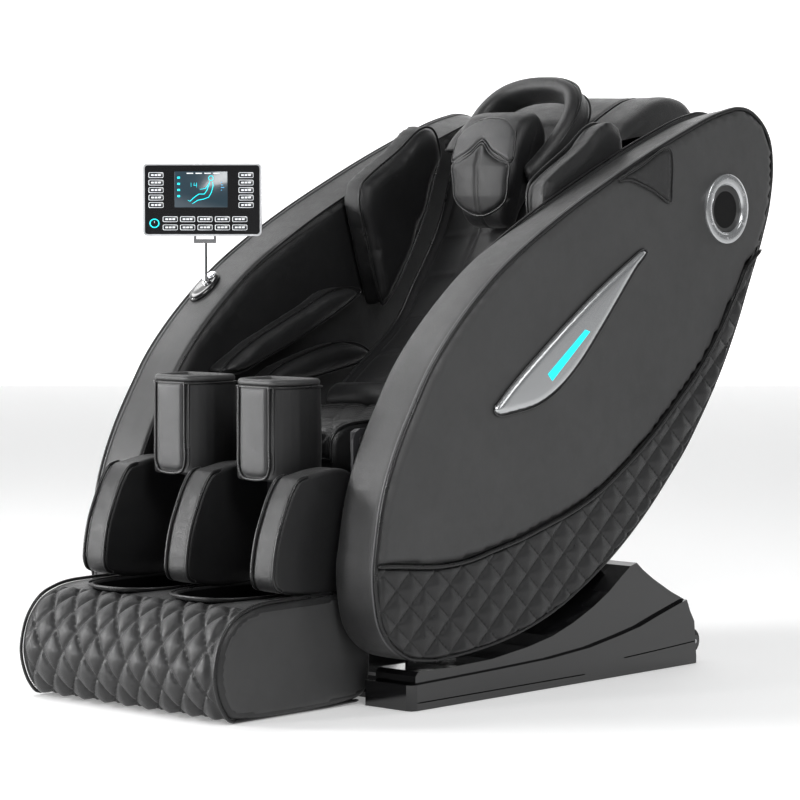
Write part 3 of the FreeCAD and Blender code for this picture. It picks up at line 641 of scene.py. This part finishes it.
seat = put(skin("seat_pad", sc, -180, 180, LEATHER_QUILT, step=ST, dx=ST, r=15, disp=seat_disp), "seat", "seat_cushion", padded=0.9)
top_line = resample([(-346, 432), (-349, 448), (-347, 474), (-334, 489), (-304, 500), (-200, 504), (-100, 505), (-16, 505)], 5, False)[0]
for s, side in ((1, "left"), (-1, "right")):
    put(tube("seat_piping_" + side, [(s * (174.5), p[0] - 0.8, p[1] - 1.4) for p in top_line], 3.2, PIPING, step=6), "seat")
    put(stitches("seat_stitches_" + side, [(s * 165.5, p[0] - 0.3, p[1] + 1.2) for p in top_line]), "seat")
put(tube("seat_front_piping", [(x, -349.2 + 6 * (abs(x) / 174.0) ** 8, 436) for x in np.linspace(-174, 174, 40)], 3.0, PIPING), "seat")

# ------------------------------------------------------------------ backrest
Fr = resample(F, 6, False)
back_prof = [tuple(p) for p in F] + [tuple(p) for p in (np.array(F) - 0)[::-1]]


def shift(pts, d):
    out = []
    for i, p in enumerate(pts):
        a, c = pts[max(0, i - 1)], pts[min(len(pts) - 1, i + 1)]
        u = (c[0] - a[0], c[1] - a[1])
        l = math.hypot(*u)
        out.append((p[0] + u[1] / l * d, p[1] - u[0] / l * d))
    return out


BACK = F + shift(F, 40)[::-1]


def back_disp(S, X, Y, Z):
    # distance up the face: two long massage channels beside the spine, and cross seams
    face = smooth((60 - np.abs(X) % 1000) / 1.0) * 0
    chan = -5.0 * np.exp(-((np.abs(X) - 62.0) / 7.0) ** 2) - 3.5 * np.exp(-((np.abs(X) - 150.0) / 4.0) ** 2)
    cross = np.zeros_like(Z)
    for zc in (560, 618, 690, 770, 850, 925):
        cross -= 2.2 * np.exp(-((Z - zc + 0.12 * np.abs(X)) / 4.5) ** 2)
    return 2.5 + chan + cross * smooth((150 - np.abs(X)) / 6.0)


put(skin("back_pad", BACK, -180, 180, LEATHER_BLACK_AND_SHADE, step=ST, dx=ST, r=14, disp=back_disp), "back", "back_cushion", padded=0.85)
for s, side in ((1, "left"), (-1, "right")):
    P, _, Nn = resample(F, 6, False)
    sg = -1 if (P[10] + Nn[10] * 5)[0] > P[10][0] else 1
    fl = [(s * 171, p[0] + n[0] * sg * 1.5, p[1] + n[1] * sg * 1.5) for p, n in zip(P, Nn)]
    put(tube("back_piping_" + side, fl, 3.2, PIPING), "back")
# smooth bolster at the foot of the backrest
bol = [(-8, 506), (-4, 530), (12, 545), (34, 549), (52, 542), (44, 520), (24, 505)]
bol_ = skin("back_bolster", bol, -176, 176, LEATHER_BLACK_AND_SHADE, step=5, dx=8, r=12, disp=lambda S, X, Y, Z: 1.0 * np.cos(X / 60.0))
inflate(bol_, 5.0, voxel=5.0)
put(bol_, "back", padded=0.9)

ho = [(400, 1006), (440, 1052), (500, 1086), (548, 1106), (590, 1112), (632, 1102), (660, 1074), (664, 1046), (652, 1038), (600, 1030), (520, 1014), (470, 1012)]


def hood_disp(S, X, Y, Z):
    top = smooth((Z - 1040) / 20.0)
    return top * (2.5 - 4.5 * np.exp(-((np.abs(X) - 130) / 3.5) ** 2) + 1.2 * np.cos(X / 42.0) - 6.0 * smooth((np.abs(X) - 190) / 50.0))


put(skin("hood_cover", ho, -232, 232, LEATHER, step=6, dx=6, r=20, disp=hood_disp), "back", "hood", padded=0.9)
hl = resample([(404, 1010), (440, 1052), (500, 1086), (548, 1106), (590, 1112), (632, 1102), (658, 1074)], 6, False)[0]
for s, side in ((1, "left"), (-1, "right")):
    put(tube("hood_seam_" + side, [(s * 130, p[0], p[1] - 0.2) for p in hl], 2.0, PIPING), "back")
    put(stitches("hood_stitches_" + side, [(s * 122, p[0] - 0.6, p[1] + 2.4) for p in hl]), "back")

for s, side in ((1, "left"), (-1, "right")):
    w = pad("shoulder_wing_" + side, inset(SP, 0.8), lambda u, v, h, s=s: (s * (264 - h), u, v), LEATHER_BLACK_AND_SHADE, 48.0, r=18, step=6,
            height=lambda u, v, d: 5.0 * (1 - np.exp(-d / 22.0)) + 0.8 * np.sin(v / 19.0 + u / 30.0) * np.exp(-d / 25.0), edge=5)
    inflate(w, 6.0, voxel=5.5)
    put(w, "back", "shoulder_pad_" + side, padded=0.85)
    put(tube("shoulder_piping_" + side, yz(off2(inset(SP, 7.0), 0), s * 221.0), 2.6, PIPING, closed=True, step=6), "back")

# neck ring
k38 = math.radians(38.7)
E1 = np.array([0, math.sin(k38), math.cos(k38)])
E2 = np.array([0, math.cos(k38), -math.sin(k38)])
O = np.array([0, 289.0, 969.0])
arch = [(-100, -8), (-122, 40), (-136, 90), (-140, 140), (-130, 188), (-103, 224), (-58, 244), (0, 250),
        (58, 244), (103, 224), (130, 188), (140, 140), (136, 90), (122, 40), (100, -8)]


def ring_sweep(name, mat, rad, dep, m=96, n=28, centre=26.0, p=0.8):
    C = resample([(a * 0.86, b * 0.925 - 1) for a, b in arch], 1.0, False)[0]
    idx = np.linspace(0, len(C) - 1, m)
    C = np.stack([np.interp(idx, range(len(C)), C[:, k]) for k in (0, 1)], 1)
    T = np.gradient(C, axis=0)
    T /= np.linalg.norm(T, axis=1)[:, None]
    L = np.concatenate([[0], np.cumsum(np.linalg.norm(np.diff(C, axis=0), axis=1))])
    verts, faces = [], []
    for i in range(m):
        e = min(L[i], L[-1] - L[i])
        k = math.sqrt(max(0.0, 1 - (1 - min(1, (e + 0.3) / 20.0)) ** 2))
        nr = np.array([T[i, 1], -T[i, 0]])
        for j in range(n):
            t = 2 * math.pi * j / n
            cx = math.copysign(abs(math.cos(t)) ** p, math.cos(t)) * rad * k
            cy = math.copysign(abs(math.sin(t)) ** p, math.sin(t)) * dep * k
            a, b = C[i] + nr * cx
            verts.append(O + np.array([a, 0, 0]) + E1 * b + E2 * (centre + cy))
    for i in range(m - 1):
        for j in range(n):
            l = (j + 1) % n
            faces.append((i * n + j, i * n + l, (i + 1) * n + l, (i + 1) * n + j))
    faces += [tuple(range(n))[::-1], tuple((m - 1) * n + j for j in range(n))]
    ob = make(name, verts, faces, mat)
    fix_normals(ob)
    return ob


put(ring_sweep("neck_ring_pad", LEATHER, 19.0, 31.0, centre=31.0), "pillow", "neck_ring", padded=0.9)
A = resample(arch, 5, False)[0][3:-3]
put(tube("neck_ring_piping_front", [O + np.array([a * 0.985, 0, 0]) + E1 * (b * 0.99) + E2 * 14.0 for a, b in A], 2.3, PIPING), "pillow")
put(tube("neck_ring_piping_rear", [O + np.array([a * 0.985, 0, 0]) + E1 * (b * 0.99) + E2 * 52.0 for a, b in A], 2.3, PIPING), "pillow")

# head pad: a folded pillow under a band, inside the ring; the band is given lighter leather as a painted highlight on
# its front face
hp = [(284, 857), (266, 876), (259, 915), (258, 975), (276, 1030), (312, 1074), (340, 1082), (356, 1072), (372, 1040), (368, 996), (344, 938), (322, 884), (312, 857)]


def head_disp(S, X, Y, Z):
    front = smooth((325 - Y) / 30.0)
    v = -6.5 * np.exp(-((Z - 896 - 0.18 * np.abs(X)) / 5.0) ** 2)
    mid = -2.5 * np.exp(-(X / 4.0) ** 2) * smooth((940 - Z) / 20.0)
    return front * (3.0 + v + mid + 1.0 * np.sin(X / 11.0) * np.exp(-((Z - 960) / 30.0) ** 2)) - 3.0 * smooth((np.abs(X) - 44) / 34.0)


# head pad cover in the darkest leather, partly painted shade in its fold
hcov = skin("head_pad_cover", hp, -84, 84, LEATHER_BLACK_AND_SHADE, step=3.5, dx=3.5, r=18, disp=head_disp)
for v in hcov.data.vertices:
    v.co.x *= 0.62 + 0.38 * float(smooth((v.co.z / MM - 850) / 120.0))
put(hcov, "pillow", "head_pad", padded=0.8)


def front_y(z, x=0.0):
    zz = [857, 876, 915, 975, 1030, 1055, 1074, 1084]
    yy = [284, 266, 259, 258, 276, 296, 312, 338]
    return float(np.interp(z, zz, yy)) + 0.0016 * x * x


band = [(-77, 983), (-52, 992), (-26, 1006), (-8, 1022), (0, 1026), (8, 1022), (26, 1006), (52, 992), (77, 983), (78, 1012), (72, 1040), (50, 1060), (0, 1071), (-50, 1060), (-72, 1040), (-78, 1012)]
# band in the lighter front leather: a painted highlight
put(pad("head_band", band, lambda u, v, h: (u, front_y(v, u) - 4.5 - h, v + 0.2 * h), LEATHER_FRONT_PAINTED_HIGHLIGHT, 7.0, r=7, step=4,
        height=lambda u, v, d: 1.5 * (1 - np.exp(-d / 10.0)), edge=3), "pillow", padded=0.85)
put(tube("head_band_piping", [(u, front_y(v, u) - 7.5, v) for u, v in resample(band, 4)[0]], 2.4, PIPING, closed=True), "pillow")
fold = [(-64, 905), (0, 876), (64, 905), (72, 945), (74, 978), (50, 986), (24, 1000), (0, 1020), (-24, 1000), (-50, 986), (-74, 978), (-72, 945)]
# fold in the darkest leather: painted shade in the fold
put(pad("head_fold", fold, lambda u, v, h: (u, front_y(v, u) - 4.0 - h, v), LEATHER_BLACK_AND_SHADE, 8.0, r=10, step=4,
        height=lambda u, v, d: 2.5 * (1 - np.exp(-d / 16.0)) - 4.0 * np.exp(-(u / 5.0) ** 2), edge=3), "pillow", padded=0.8)
put(tube("head_fold_piping", [(u, front_y(v, u) - 7.5, v) for u, v in resample(fold, 4)[0]], 2.0, PIPING, closed=True), "pillow")

# ------------------------------------------------------------------ legrest
cp = [(-370, 417), (-370, 217), (-545, 217), (-561, 224), (-568, 240), (-568, 252), (-565, 276), (-556, 314), (-542, 349), (-524, 386), (-504, 411), (-490, 417)]


def calf_disp(S, X, Y, Z):
    front = smooth((-470 - Y) / 30.0)
    return front * 1.2 + 0.4


for nm, c in (("middle", 0.0), ("left", 221.5), ("right", -221.5)):
    put(skin("calf_cover_" + nm, cp, c - 28.2, c + 28.2, LEATHER_BLACK_AND_SHADE, step=5, dx=5, r=9, disp=calf_disp), "leg", "calf_pad_" + nm, padded=0.9)
    line = resample([(-480, 417), (-504, 411), (-524, 386), (-542, 349), (-556, 314), (-565, 276), (-568, 252), (-568, 240), (-561, 224), (-545, 217)], 5, False)[0]
    for s in (1, -1):
        put(tube("calf_piping_%s_%d" % (nm, s + 1), [(c + s * 26.8, p[0] - 2.4, p[1] + 1.6) for p in line], 3.5, PIPING), "leg")
        put(stitches("calf_stitches_%s_%d" % (nm, s + 1), [(c + s * 19.5, p[0] - 1.6, p[1]) for p in line]), "leg")

kp = [(-39, -479), (39, -479), (49, -474), (57, -465), (64, -450), (69, -434), (70.5, -412), (70, -390), (67, -378), (62, -371), (-62, -371), (-67, -378), (-70, -390), (-70.5, -412), (-69, -434), (-64, -450), (-57, -465), (-49, -474)]


def skin_z(name, prof, z0, z1, mat, r, disp=None, step=4, dz=5):
    P, S, Nn = resample(prof, step, True, False)
    zs, off = rounded_x(z0, z1, r, dz)
    n, m = len(P), len(zs)
    D = disp(S[None, :] + 0 * zs[:, None], zs[:, None] + 0 * S[None, :], P[None, :, 0] + 0 * zs[:, None], P[None, :, 1] + 0 * zs[:, None]) if disp else np.zeros((m, n))
    Q = P[None] + Nn[None] * (D - off[:, None])[..., None]
    verts = np.zeros((m * n, 3))
    verts[:, :2] = Q.reshape(-1, 2)
    verts[:, 2] = np.repeat(zs, n)
    faces = [(i * n + j, i * n + (j + 1) % n, (i + 1) * n + (j + 1) % n, (i + 1) * n + j) for i in range(m - 1) for j in range(n)]
    faces += [tuple(range(n))[::-1], tuple((m - 1) * n + j for j in range(n))]
    ob = make(name, verts, faces, mat)
    fix_normals(ob)
    return ob


for s, side in ((1, "left"), (-1, "right")):
    pr = [(x + s * 110, y) for x, y in kp]
    put(skin_z("knee_cover_" + side, pr, 402.5, 574, LEATHER_BLACK_AND_SHADE, 6, lambda S, Z, X, Y: 1.5 * np.sin((Z - 402) / 48.0)), "leg", "knee_pad_" + side, padded=0.9)
    face = [(-36, 574), (-36, 440), (-36, 424), (-30, 413), (-18, 409), (18, 409), (30, 413), (36, 424), (36, 440), (36, 574)]
    # front face in the lighter front leather: a painted highlight on the knee face
    put(pad("knee_face_" + side, face, lambda u, v, h, s=s: (s * 110 + u, -478.5 - h, v), LEATHER_FRONT_PAINTED_HIGHLIGHT, 5.0, r=9, step=5, curved=False,
            height=lambda u, v, d: 2.4 * (1 - np.exp(-d / 12.0)), edge=4), "leg", padded=0.9)
    U = [(s * 110 + u, -480.6, v) for u, v in resample([(-38.5, 574), (-38.8, 470), (-38.5, 425), (-31, 410), (-18, 405.5), (18, 405.5), (31, 410), (38.5, 425), (38.8, 470), (38.5, 574)], 4, False)[0]]
    put(tube("knee_piping_" + side, U, 2.7, PIPING), "leg")
    U2 = [(s * 110 + u * 1.19, -476.4, 400 + (v - 400) * 1.0) for u, v in resample([(-38.5, 574), (-38.8, 470), (-38.5, 425), (-35, 412)], 4, False)[0]]
    put(tube("knee_welt_a_" + side, U2, 1.6, PIPING), "leg")
    put(tube("knee_welt_b_" + side, [(2 * s * 110 - p[0], p[1], p[2]) for p in U2], 1.6, PIPING), "leg")
    put(stitches("knee_stitches_" + side, [(s * 110 + 30, -484.2, v) for v in np.linspace(425, 566, 14)]), "leg")
    rim = np.array(resample(inset(pr, 7.0), 4)[0])
    # knee rim in the lighter rim leather, which paints a highlight on the rim roll
    put(tube("knee_rim_" + side, [(p[0], p[1], 579.5) for p in rim], 6.5, LEATHER_RIM_PAINTED_HIGHLIGHT, closed=True, n=14), "leg", padded=0.9)
    put(tube("knee_rim_piping_" + side, [(p[0], p[1], 571.5) for p in resample(inset(pr, -0.6), 4)[0]], 2.0, PIPING, closed=True), "leg")
    # near-black hollow: painted shade inside the knee pad
    put(pad("knee_hollow_" + side, inset(pr, 12.0), lambda u, v, h: (u, v, 578.0 - h), PAINTED_SHADE_LINING, 3.0, r=16, step=5, edge=4), "leg", padded=0.7)
    # dark ring round the knee slot in the darkest leather: painted shade in the slot
    slot = [(s * 110 + 42 * math.cos(2 * math.pi * k / 40), -426 + 17 * math.sin(2 * math.pi * k / 40)) for k in range(40)]
    put(tube("knee_slot_" + side, [(x, y, 579.0) for x, y in slot], 3.4, LEATHER_BLACK_AND_SHADE, closed=True, n=10), "leg")

# ------------------------------------------------------------------ footrest
fp = [(-335, 196), (-331, 186), (-331, 46), (-340, 22), (-362, 8), (-680, 6), (-698, 22), (-712, 48), (-720, 83), (-716, 117), (-703, 150), (-673, 182), (-637, 197), (-605, 203), (-540, 205), (-342, 205)]


def well(cx, k=1.0, n=64):
    out = []
    for i in range(n):
        t = 2 * math.pi * i / n + 0.01
        out.append((cx + 90 * k * math.copysign(abs(math.cos(t)) ** 0.75, math.cos(t)), -505 + 133 * (1 - (1 - k) * 0.7) * math.copysign(abs(math.sin(t)) ** 0.75, math.sin(t))))
    return out


FP, FS, FN = resample(fp, 4)
jf = int(np.argmin(np.abs(FP[:, 0] + 680) + np.abs(FP[:, 1] - 8)))
jt = int(np.argmin(np.abs(FP[:, 0] + 640) + np.abs(FP[:, 1] - 197)))
s_a, s_b = sorted((FS[jf], FS[jt]))


def foot_disp(S, X, Y, Z):
    front = smooth((S - s_a) / 12.0) * smooth((s_b + 8 - S) / 12.0)
    inner = smooth((244 - np.abs(X)) / 10.0)
    q = quilt(X, S - s_a + 20, 56.5, 80.0, 13.0, 0.30)
    return front * inner * (q + 3.0) - 2.0


foot = skin("footrest_cover", fp, -260, 260, LEATHER, step=ST * 0.66, dx=ST * 0.66, r=13, disp=foot_disp)
for cx in (110, -110):
    w = well(cx, 1.0)
    n = len(w)
    vv = [(x, y, 44) for x, y in w] + [(x, y, 240) for x, y in w]
    ff = [(i, (i + 1) % n, n + (i + 1) % n, n + i) for i in range(n)] + [tuple(range(n))[::-1], tuple(n + i for i in range(n))]
    cut = make("well_cutter_%d" % (cx > 0), vv, ff, PAINTED_SHADE_LINING, smooth=False)
    fix_normals(cut)
    md = foot.modifiers.new("b", "BOOLEAN")
    md.operation = "DIFFERENCE"
    md.object = cut
    md.solver = "EXACT"
    bpy.context.view_layer.objects.active = foot
    foot.select_set(True)
    bpy.ops.object.modifier_apply(modifier="b")
    bpy.data.objects.remove(cut)
for v in foot.data.vertices:
    v.co.z = max(v.co.z, 0.0035)
put(foot, "foot", "footrest", padded=0.95)
for cx, side in ((110, "left"), (-110, "right")):
    verts, faces = [], []
    levels = [(206.5, 1.01), (205.5, 0.985), (200, 0.965), (188, 0.95), (150, 0.945), (100, 0.94), (60, 0.93), (50, 0.90), (47, 0.84)]
    for z, k in levels:
        verts += [(x, y, z + (0.8 * math.sin(4 * math.atan2(y + 505, x - cx)) if 90 < z < 160 else 0)) for x, y in well(cx, k)]
    n = 64
    for i in range(len(levels) - 1):
        for j in range(n):
            faces.append((i * n + j, i * n + (j + 1) % n, (i + 1) * n + (j + 1) % n, (i + 1) * n + j))
    faces.append(tuple((len(levels) - 1) * n + j for j in range(n)))
    # near-black well walls: painted shade inside the foot wells
    put(make("foot_well_lining_" + side, verts, faces, PAINTED_SHADE_LINING), "foot", padded=0.7)
    put(tube("foot_well_lip_" + side, [(x, y, 204.0) for x, y in well(cx, 1.01)], 3.6, LEATHER_BLACK_AND_SHADE, closed=True, n=12), "foot", padded=0.9)
    put(tube("foot_well_piping_" + side, [(x, y, 207.0) for x, y in well(cx, 1.10)], 2.2, PIPING, closed=True), "foot")
fline = resample([(-362, 7), (-680, 5.5), (-699, 22), (-713, 48), (-721, 83), (-717, 117), (-704, 150), (-674, 183), (-637, 198), (-605, 204), (-540, 206), (-350, 206)], 6, False)[0]
for s, side in ((1, "left"), (-1, "right")):
    put(tube("foot_piping_" + side, [(s * 254.5, p[0] + 0.5, max(p[1] - 0.6, 4.2)) for p in fline], 3.2, PIPING), "foot")
    put(stitches("foot_stitches_" + side, [(s * 246.0, p[0] - 0.4, max(p[1] + 0.2, 3.0)) for p in fline[12:]]), "foot")
    side_pad = inset(fp, 9.0)
    put(pad("foot_side_" + side, side_pad, lambda u, v, h, s=s: (s * (256 + h), u, v), LEATHER_PANEL, 5.0, r=10, step=8,
            height=lambda u, v, d: 1.5 * (1 - np.exp(-d / 40.0)), edge=6), "foot", padded=0.9)

# ------------------------------------------------------------------ base details
def groove(name, pts, r=1.1, mat=None):
    # grooves default to the near-black leather: painted shade in the gaps
    put(tube(name, pts, r, mat or PAINTED_SHADE_LINING, n=6, step=8), "chassis")


for s, side in ((1, "left"), (-1, "right")):
    groove("skirt_line_front_" + side, [(s * 392.2, y, z) for y, z in ((-352, 14), (-200, 14.3), (0, 14.7), (115, 15))])
    groove("skirt_line_rear_" + side, [(s * 392.2, y, z) for y, z in ((232, 34), (330, 38), (454, 44))])

# ------------------------------------------------------------------ tablet
TX, TY, PZ = -345.0, -165.0, 829.0
ca, sa = math.cos(math.radians(42)), math.sin(math.radians(42))


def tab(u, v, w):
    """Tablet face coordinates: across, out of the face, up."""
    u = u * 1.08 - 4.0
    y = -20.55 - w
    return (TX + u * ca - y * sa, TY + u * sa + y * ca, PZ + v)


def plate(name, u0, u1, v0, v1, t, mat, r=2.0, z=0.0, body="tablet"):
    ol = []
    for cx, cy, a in ((u1 - r, v1 - r, 0), (u0 + r, v1 - r, 90), (u0 + r, v0 + r, 180), (u1 - r, v0 + r, 270)):
        for k in range(6):
            g = math.radians(a + 18 * k)
            ol.append((cx + r * math.cos(g), cy + r * math.sin(g)))
    n = len(ol)
    b = min(t * 0.4, 0.3)
    rings = [(0.0, 0.0), (0.0, t - b), (b, t)]
    verts = []
    for d, h in rings:
        verts += [tab(a - math.copysign(d, a - (u0 + u1) / 2), c - math.copysign(d, c - (v0 + v1) / 2), z + h) for a, c in ol]
    faces = [(i * n + j, i * n + (j + 1) % n, (i + 1) * n + (j + 1) % n, (i + 1) * n + j) for i in range(2) for j in range(n)]
    faces += [tuple(range(n))[::-1], tuple(2 * n + j for j in range(n))]
    ob = make(name, verts, faces, mat, angle=40)
    fix_normals(ob)
    return put(ob, body)


plate("screen_panel", -50, 46, 64, 134, 0.25, plain("screen_dark", (0.012, 0.02, 0.028), 0.2, em=(0.03, 0.06, 0.08), es=0.6, coat=0.3), 1.5)


def key(name, u0, u1, zc, hh=5.4, bars=3):
    plate(name + "_edge", u0, u1, zc - hh, zc + hh, 0.2, MARK, 2.4)
    plate(name, u0 + 0.9, u1 - 0.9, zc - hh + 0.9, zc + hh - 0.9, 0.2, KEY, 1.8, 0.2)
    w = (u1 - u0 - 8.0) / bars
    for b in range(bars):
        plate("%s_mark_%d" % (name, b), u0 + 4 + w * b + 0.7, u0 + 4 + w * (b + 1) - 0.7, zc - 1.6, zc + 1.6, 0.15, MARK, 0.5, 0.4)


for k in range(5):
    zc = 127.0 - 14.6 * k
    key("key_left_%d" % k, -97, -70, zc)
    key("key_right_%d" % k, 66, 93, zc)
    for row, zz in enumerate((41.0, 25.0)):
        uc = -58 + 31.5 * k
        key("key_low_%d_%d" % (row, k), uc - 13.5, uc + 13.5, zz)
# the figure on the screen: head, trunk, arms and legs
def stroke(name, pts, r, mat):
    put(tube(name, [tab(u, v, 0.45) for u, v in pts], r, mat, n=6), "tablet")


stroke("figure_head", [(16 + 4.2 * math.cos(a), 121 + 4.6 * math.sin(a)) for a in np.linspace(0, 2 * math.pi, 20)], 0.7, CYAN)
stroke("figure_body", [(14, 115), (12, 108), (9, 98), (4, 90), (-6, 90), (-14, 84), (-22, 76), (-26, 78)], 0.8, CYAN)
stroke("figure_back", [(19, 114), (20, 106), (17, 94), (12, 84), (2, 80), (-8, 78), (-18, 71)], 0.8, CYAN)
stroke("figure_arm", [(12, 110), (6, 101), (-4, 99)], 0.7, CYAN)
stroke("figure_digit_a", [(-20, 112), (-20, 104)], 0.6, CYAN)
stroke("figure_digit_b", [(-14, 112), (-15, 107), (-10, 107), (-10, 112), (-10, 103)], 0.6, CYAN)
for k in range(4):
    plate("bar_a_%d" % k, -45, -40, 120 - 12 * k, 124 - 12 * k, 0.15, CYAN, 1.0, 0.25)
    plate("bar_c_%d" % k, -28 + 16 * k, -16 + 16 * k, 129.5, 131.5, 0.15, MARK, 0.8, 0.25)
    plate("bar_b_%d" % k, 34, 36 + 2 * (k % 3), 112 - 5 * k, 113.5 - 5 * k, 0.15, GLOW, 0.6, 0.25)
rp = [tab(-86.5 + 8 * math.cos(2 * math.pi * k / 40), 33 + 8 * math.sin(2 * math.pi * k / 40), 0.3) for k in range(40)]
put(tube("power_ring", rp, 1.1, CYAN, closed=True), "tablet")
put(tube("power_symbol", [tab(-86.5, 33, 0.35), tab(-86.5, 35, 0.35), tab(-86.5, 37.5, 0.35)], 0.6, MARK), "tablet")

# oval mount under the post, with its socket
SL = math.atan2(774 - 711, -114 + 194)
TZ = 711 + (TY + 194) * math.tan(SL)
verts, faces = [], []
dome = [(1.0, -4.0), (1.0, 4.5), (0.97, 7.0), (0.9, 8.8), (0.78, 9.6), (0.6, 9.4), (0.35, 8.8), (0.03, 8.6)]
for k, h in dome:
    for q in range(56):
        t = 2 * math.pi * q / 56
        a, b = 24.0 * k * math.cos(t), 42.0 * k * math.sin(t)
        verts.append((TX + a, TY + b * math.cos(SL) - h * math.sin(SL), TZ + b * math.sin(SL) + h * math.cos(SL)))
for i in range(len(dome) - 1):
    for q in range(56):
        r_ = (q + 1) % 56
        faces.append((i * 56 + q, i * 56 + r_, (i + 1) * 56 + r_, (i + 1) * 56 + q))
faces += [tuple(range(56))[::-1], tuple((len(dome) - 1) * 56 + q for q in range(56))]
md_ = make("mount_oval", verts, faces, GLOSS)
fix_normals(md_)
put(md_, "chassis", "tablet_mount")
put(tube("mount_socket", [(TX, TY, TZ + 4), (TX, TY, TZ + 12), (TX, TY, TZ + 17.5)], 7.0, CHROME, n=28), "chassis")
bt = [(TX + 9.6 * math.cos(2 * math.pi * q / 40), TY + (28.8 + 9.6 * math.sin(2 * math.pi * q / 40)) * math.cos(SL) - 10.6 * math.sin(SL), TZ + (28.8 + 9.6 * math.sin(2 * math.pi * q / 40)) * math.sin(SL) + 10.6 * math.cos(SL)) for q in range(40)]
put(tube("button_ring", bt, 1.5, CHROME, closed=True), "chassis")

# ------------------------------------------------------------------ finishes of the shown frame pieces
FIN = {"base_pan": GLOSS, "base_skirt": GLOSS, "cradle_left": GLOSS, "cradle_right": GLOSS, "main_frame": PAINT, "foot_pads": RUBBER,
       "axle_pins": STEEL, "transport_wheel_left": RUBBER, "transport_wheel_right": RUBBER, "power_inlet": MATTE, "power_switch": MATTE,
       "control_box": MATTE, "air_pump": PAINT, "blade_lights": CYAN, "quick_button": CHROME,
       "tablet_post": CHROME, "tablet_case": WHITE, "tablet_glass": SCREEN, "seat_frame": PAINT, "seat_pivot_pins": STEEL,
       "back_frame": PAINT, "back_cover": MATTE, "massage_carriage": PAINT, "lead_screw": STEEL, "massage_roller_left": POLYMER,
       "massage_roller_right": POLYMER, "leg_frame": PAINT, "foot_roller": POLYMER, "leg_actuator_body": PAINT,
       "leg_actuator_rod": STEEL, "back_actuator_body": PAINT, "back_actuator_rod": STEEL}
for nm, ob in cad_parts.items():
    if nm in FIN:
        ob.data.materials.clear()
        ob.data.materials.append(FIN[nm])
        if nm in ("base_skirt", "cradle_left", "cradle_right", "tablet_case", "tablet_mount", "back_cover", "quick_button", "transport_wheel_left", "transport_wheel_right"):
            bv = ob.modifiers.new("soft_edge", "BEVEL")
            bv.width = 0.0012 if nm != "base_skirt" else 0.003
            bv.segments = 3
            bv.limit_method = "ANGLE"
            bv.angle_limit = math.radians(40)

# ------------------------------------------------------------------ studio
sc_ = bpy.context.scene
fl = make("studio_floor", [(-24000, -24000, -0.6), (24000, -24000, -0.6), (24000, 24000, -0.6), (-24000, 24000, -0.6)], [(0, 1, 2, 3)], FLOOR, smooth=False)
fl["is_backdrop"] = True
glow, gnt, gb = new_mat("studio_backdrop")
gb.inputs["Base Color"].default_value = (0.9, 0.9, 0.9, 1)
gb.inputs["Emission Color"].default_value = (1, 1, 1, 1)
gb.inputs["Emission Strength"].default_value = 0.85
bx_, by_ = -math.sin(math.radians(42.8)), math.cos(math.radians(42.8))
c_ = (bx_ * 9500, by_ * 9500)
wall = make("studio_backdrop", [(c_[0] - by_ * 19000, c_[1] + bx_ * 19000, -0.6), (c_[0] + by_ * 19000, c_[1] - bx_ * 19000, -0.6),
                                (c_[0] + by_ * 19000, c_[1] - bx_ * 19000, 14800), (c_[0] - by_ * 19000, c_[1] + bx_ * 19000, 14800)], [(0, 1, 2, 3)], glow, smooth=False)
wall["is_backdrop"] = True
wd = bpy.data.worlds.new("studio")
sc_.world = wd
wd.use_nodes = True
wd.node_tree.nodes["Background"].inputs[0].default_value = (0.95, 0.96, 0.97, 1)
wd.node_tree.nodes["Background"].inputs[1].default_value = 0.2
sc_.view_settings.view_transform = "Standard"


def area(name, loc, target, w, h, power, col=(1, 1, 1)):
    li = bpy.data.lights.new(name, "AREA")
    li.shape = "RECTANGLE"
    li.size, li.size_y = w, h
    li.energy = power
    li.color = col
    ob = bpy.data.objects.new(name, li)
    ob.location = loc
    d = Vector(target) - Vector(loc)
    ob.rotation_euler = d.to_track_quat("-Z", "Y").to_euler()
    sc_.collection.objects.link(ob)
    return ob


area("key_softbox", (2.8, -1.6, 3.0), (0, 0, 0.5), 1.4, 1.4, 80)
area("top_softbox", (-2.2, -0.6, 3.0), (0, 0, 0.7), 1.8, 1.2, 38)
area("front_softbox", (-3.3, -3.3, 1.5), (0, -0.3, 0.5), 1.1, 2.2, 190)
area("front_strip", (-1.2, -4.2, 0.9), (0, -0.4, 0.4), 0.5, 1.4, 60)
area("side_strip", (3.2, 1.2, 2.2), (0.3, 0.1, 0.6), 0.4, 1.6, 10)

cam = bpy.data.cameras.new("camera")
cam.lens = 144.13
cam.sensor_width = 36.0
cam.clip_end = 60
co = bpy.data.objects.new("camera", cam)
co.location = (4.2098, -4.5198, 0.9084)
co.rotation_euler = (math.radians(86.418), 0, math.radians(42.809))
sc_.collection.objects.link(co)
sc_.camera = co

note_size("visual", False)
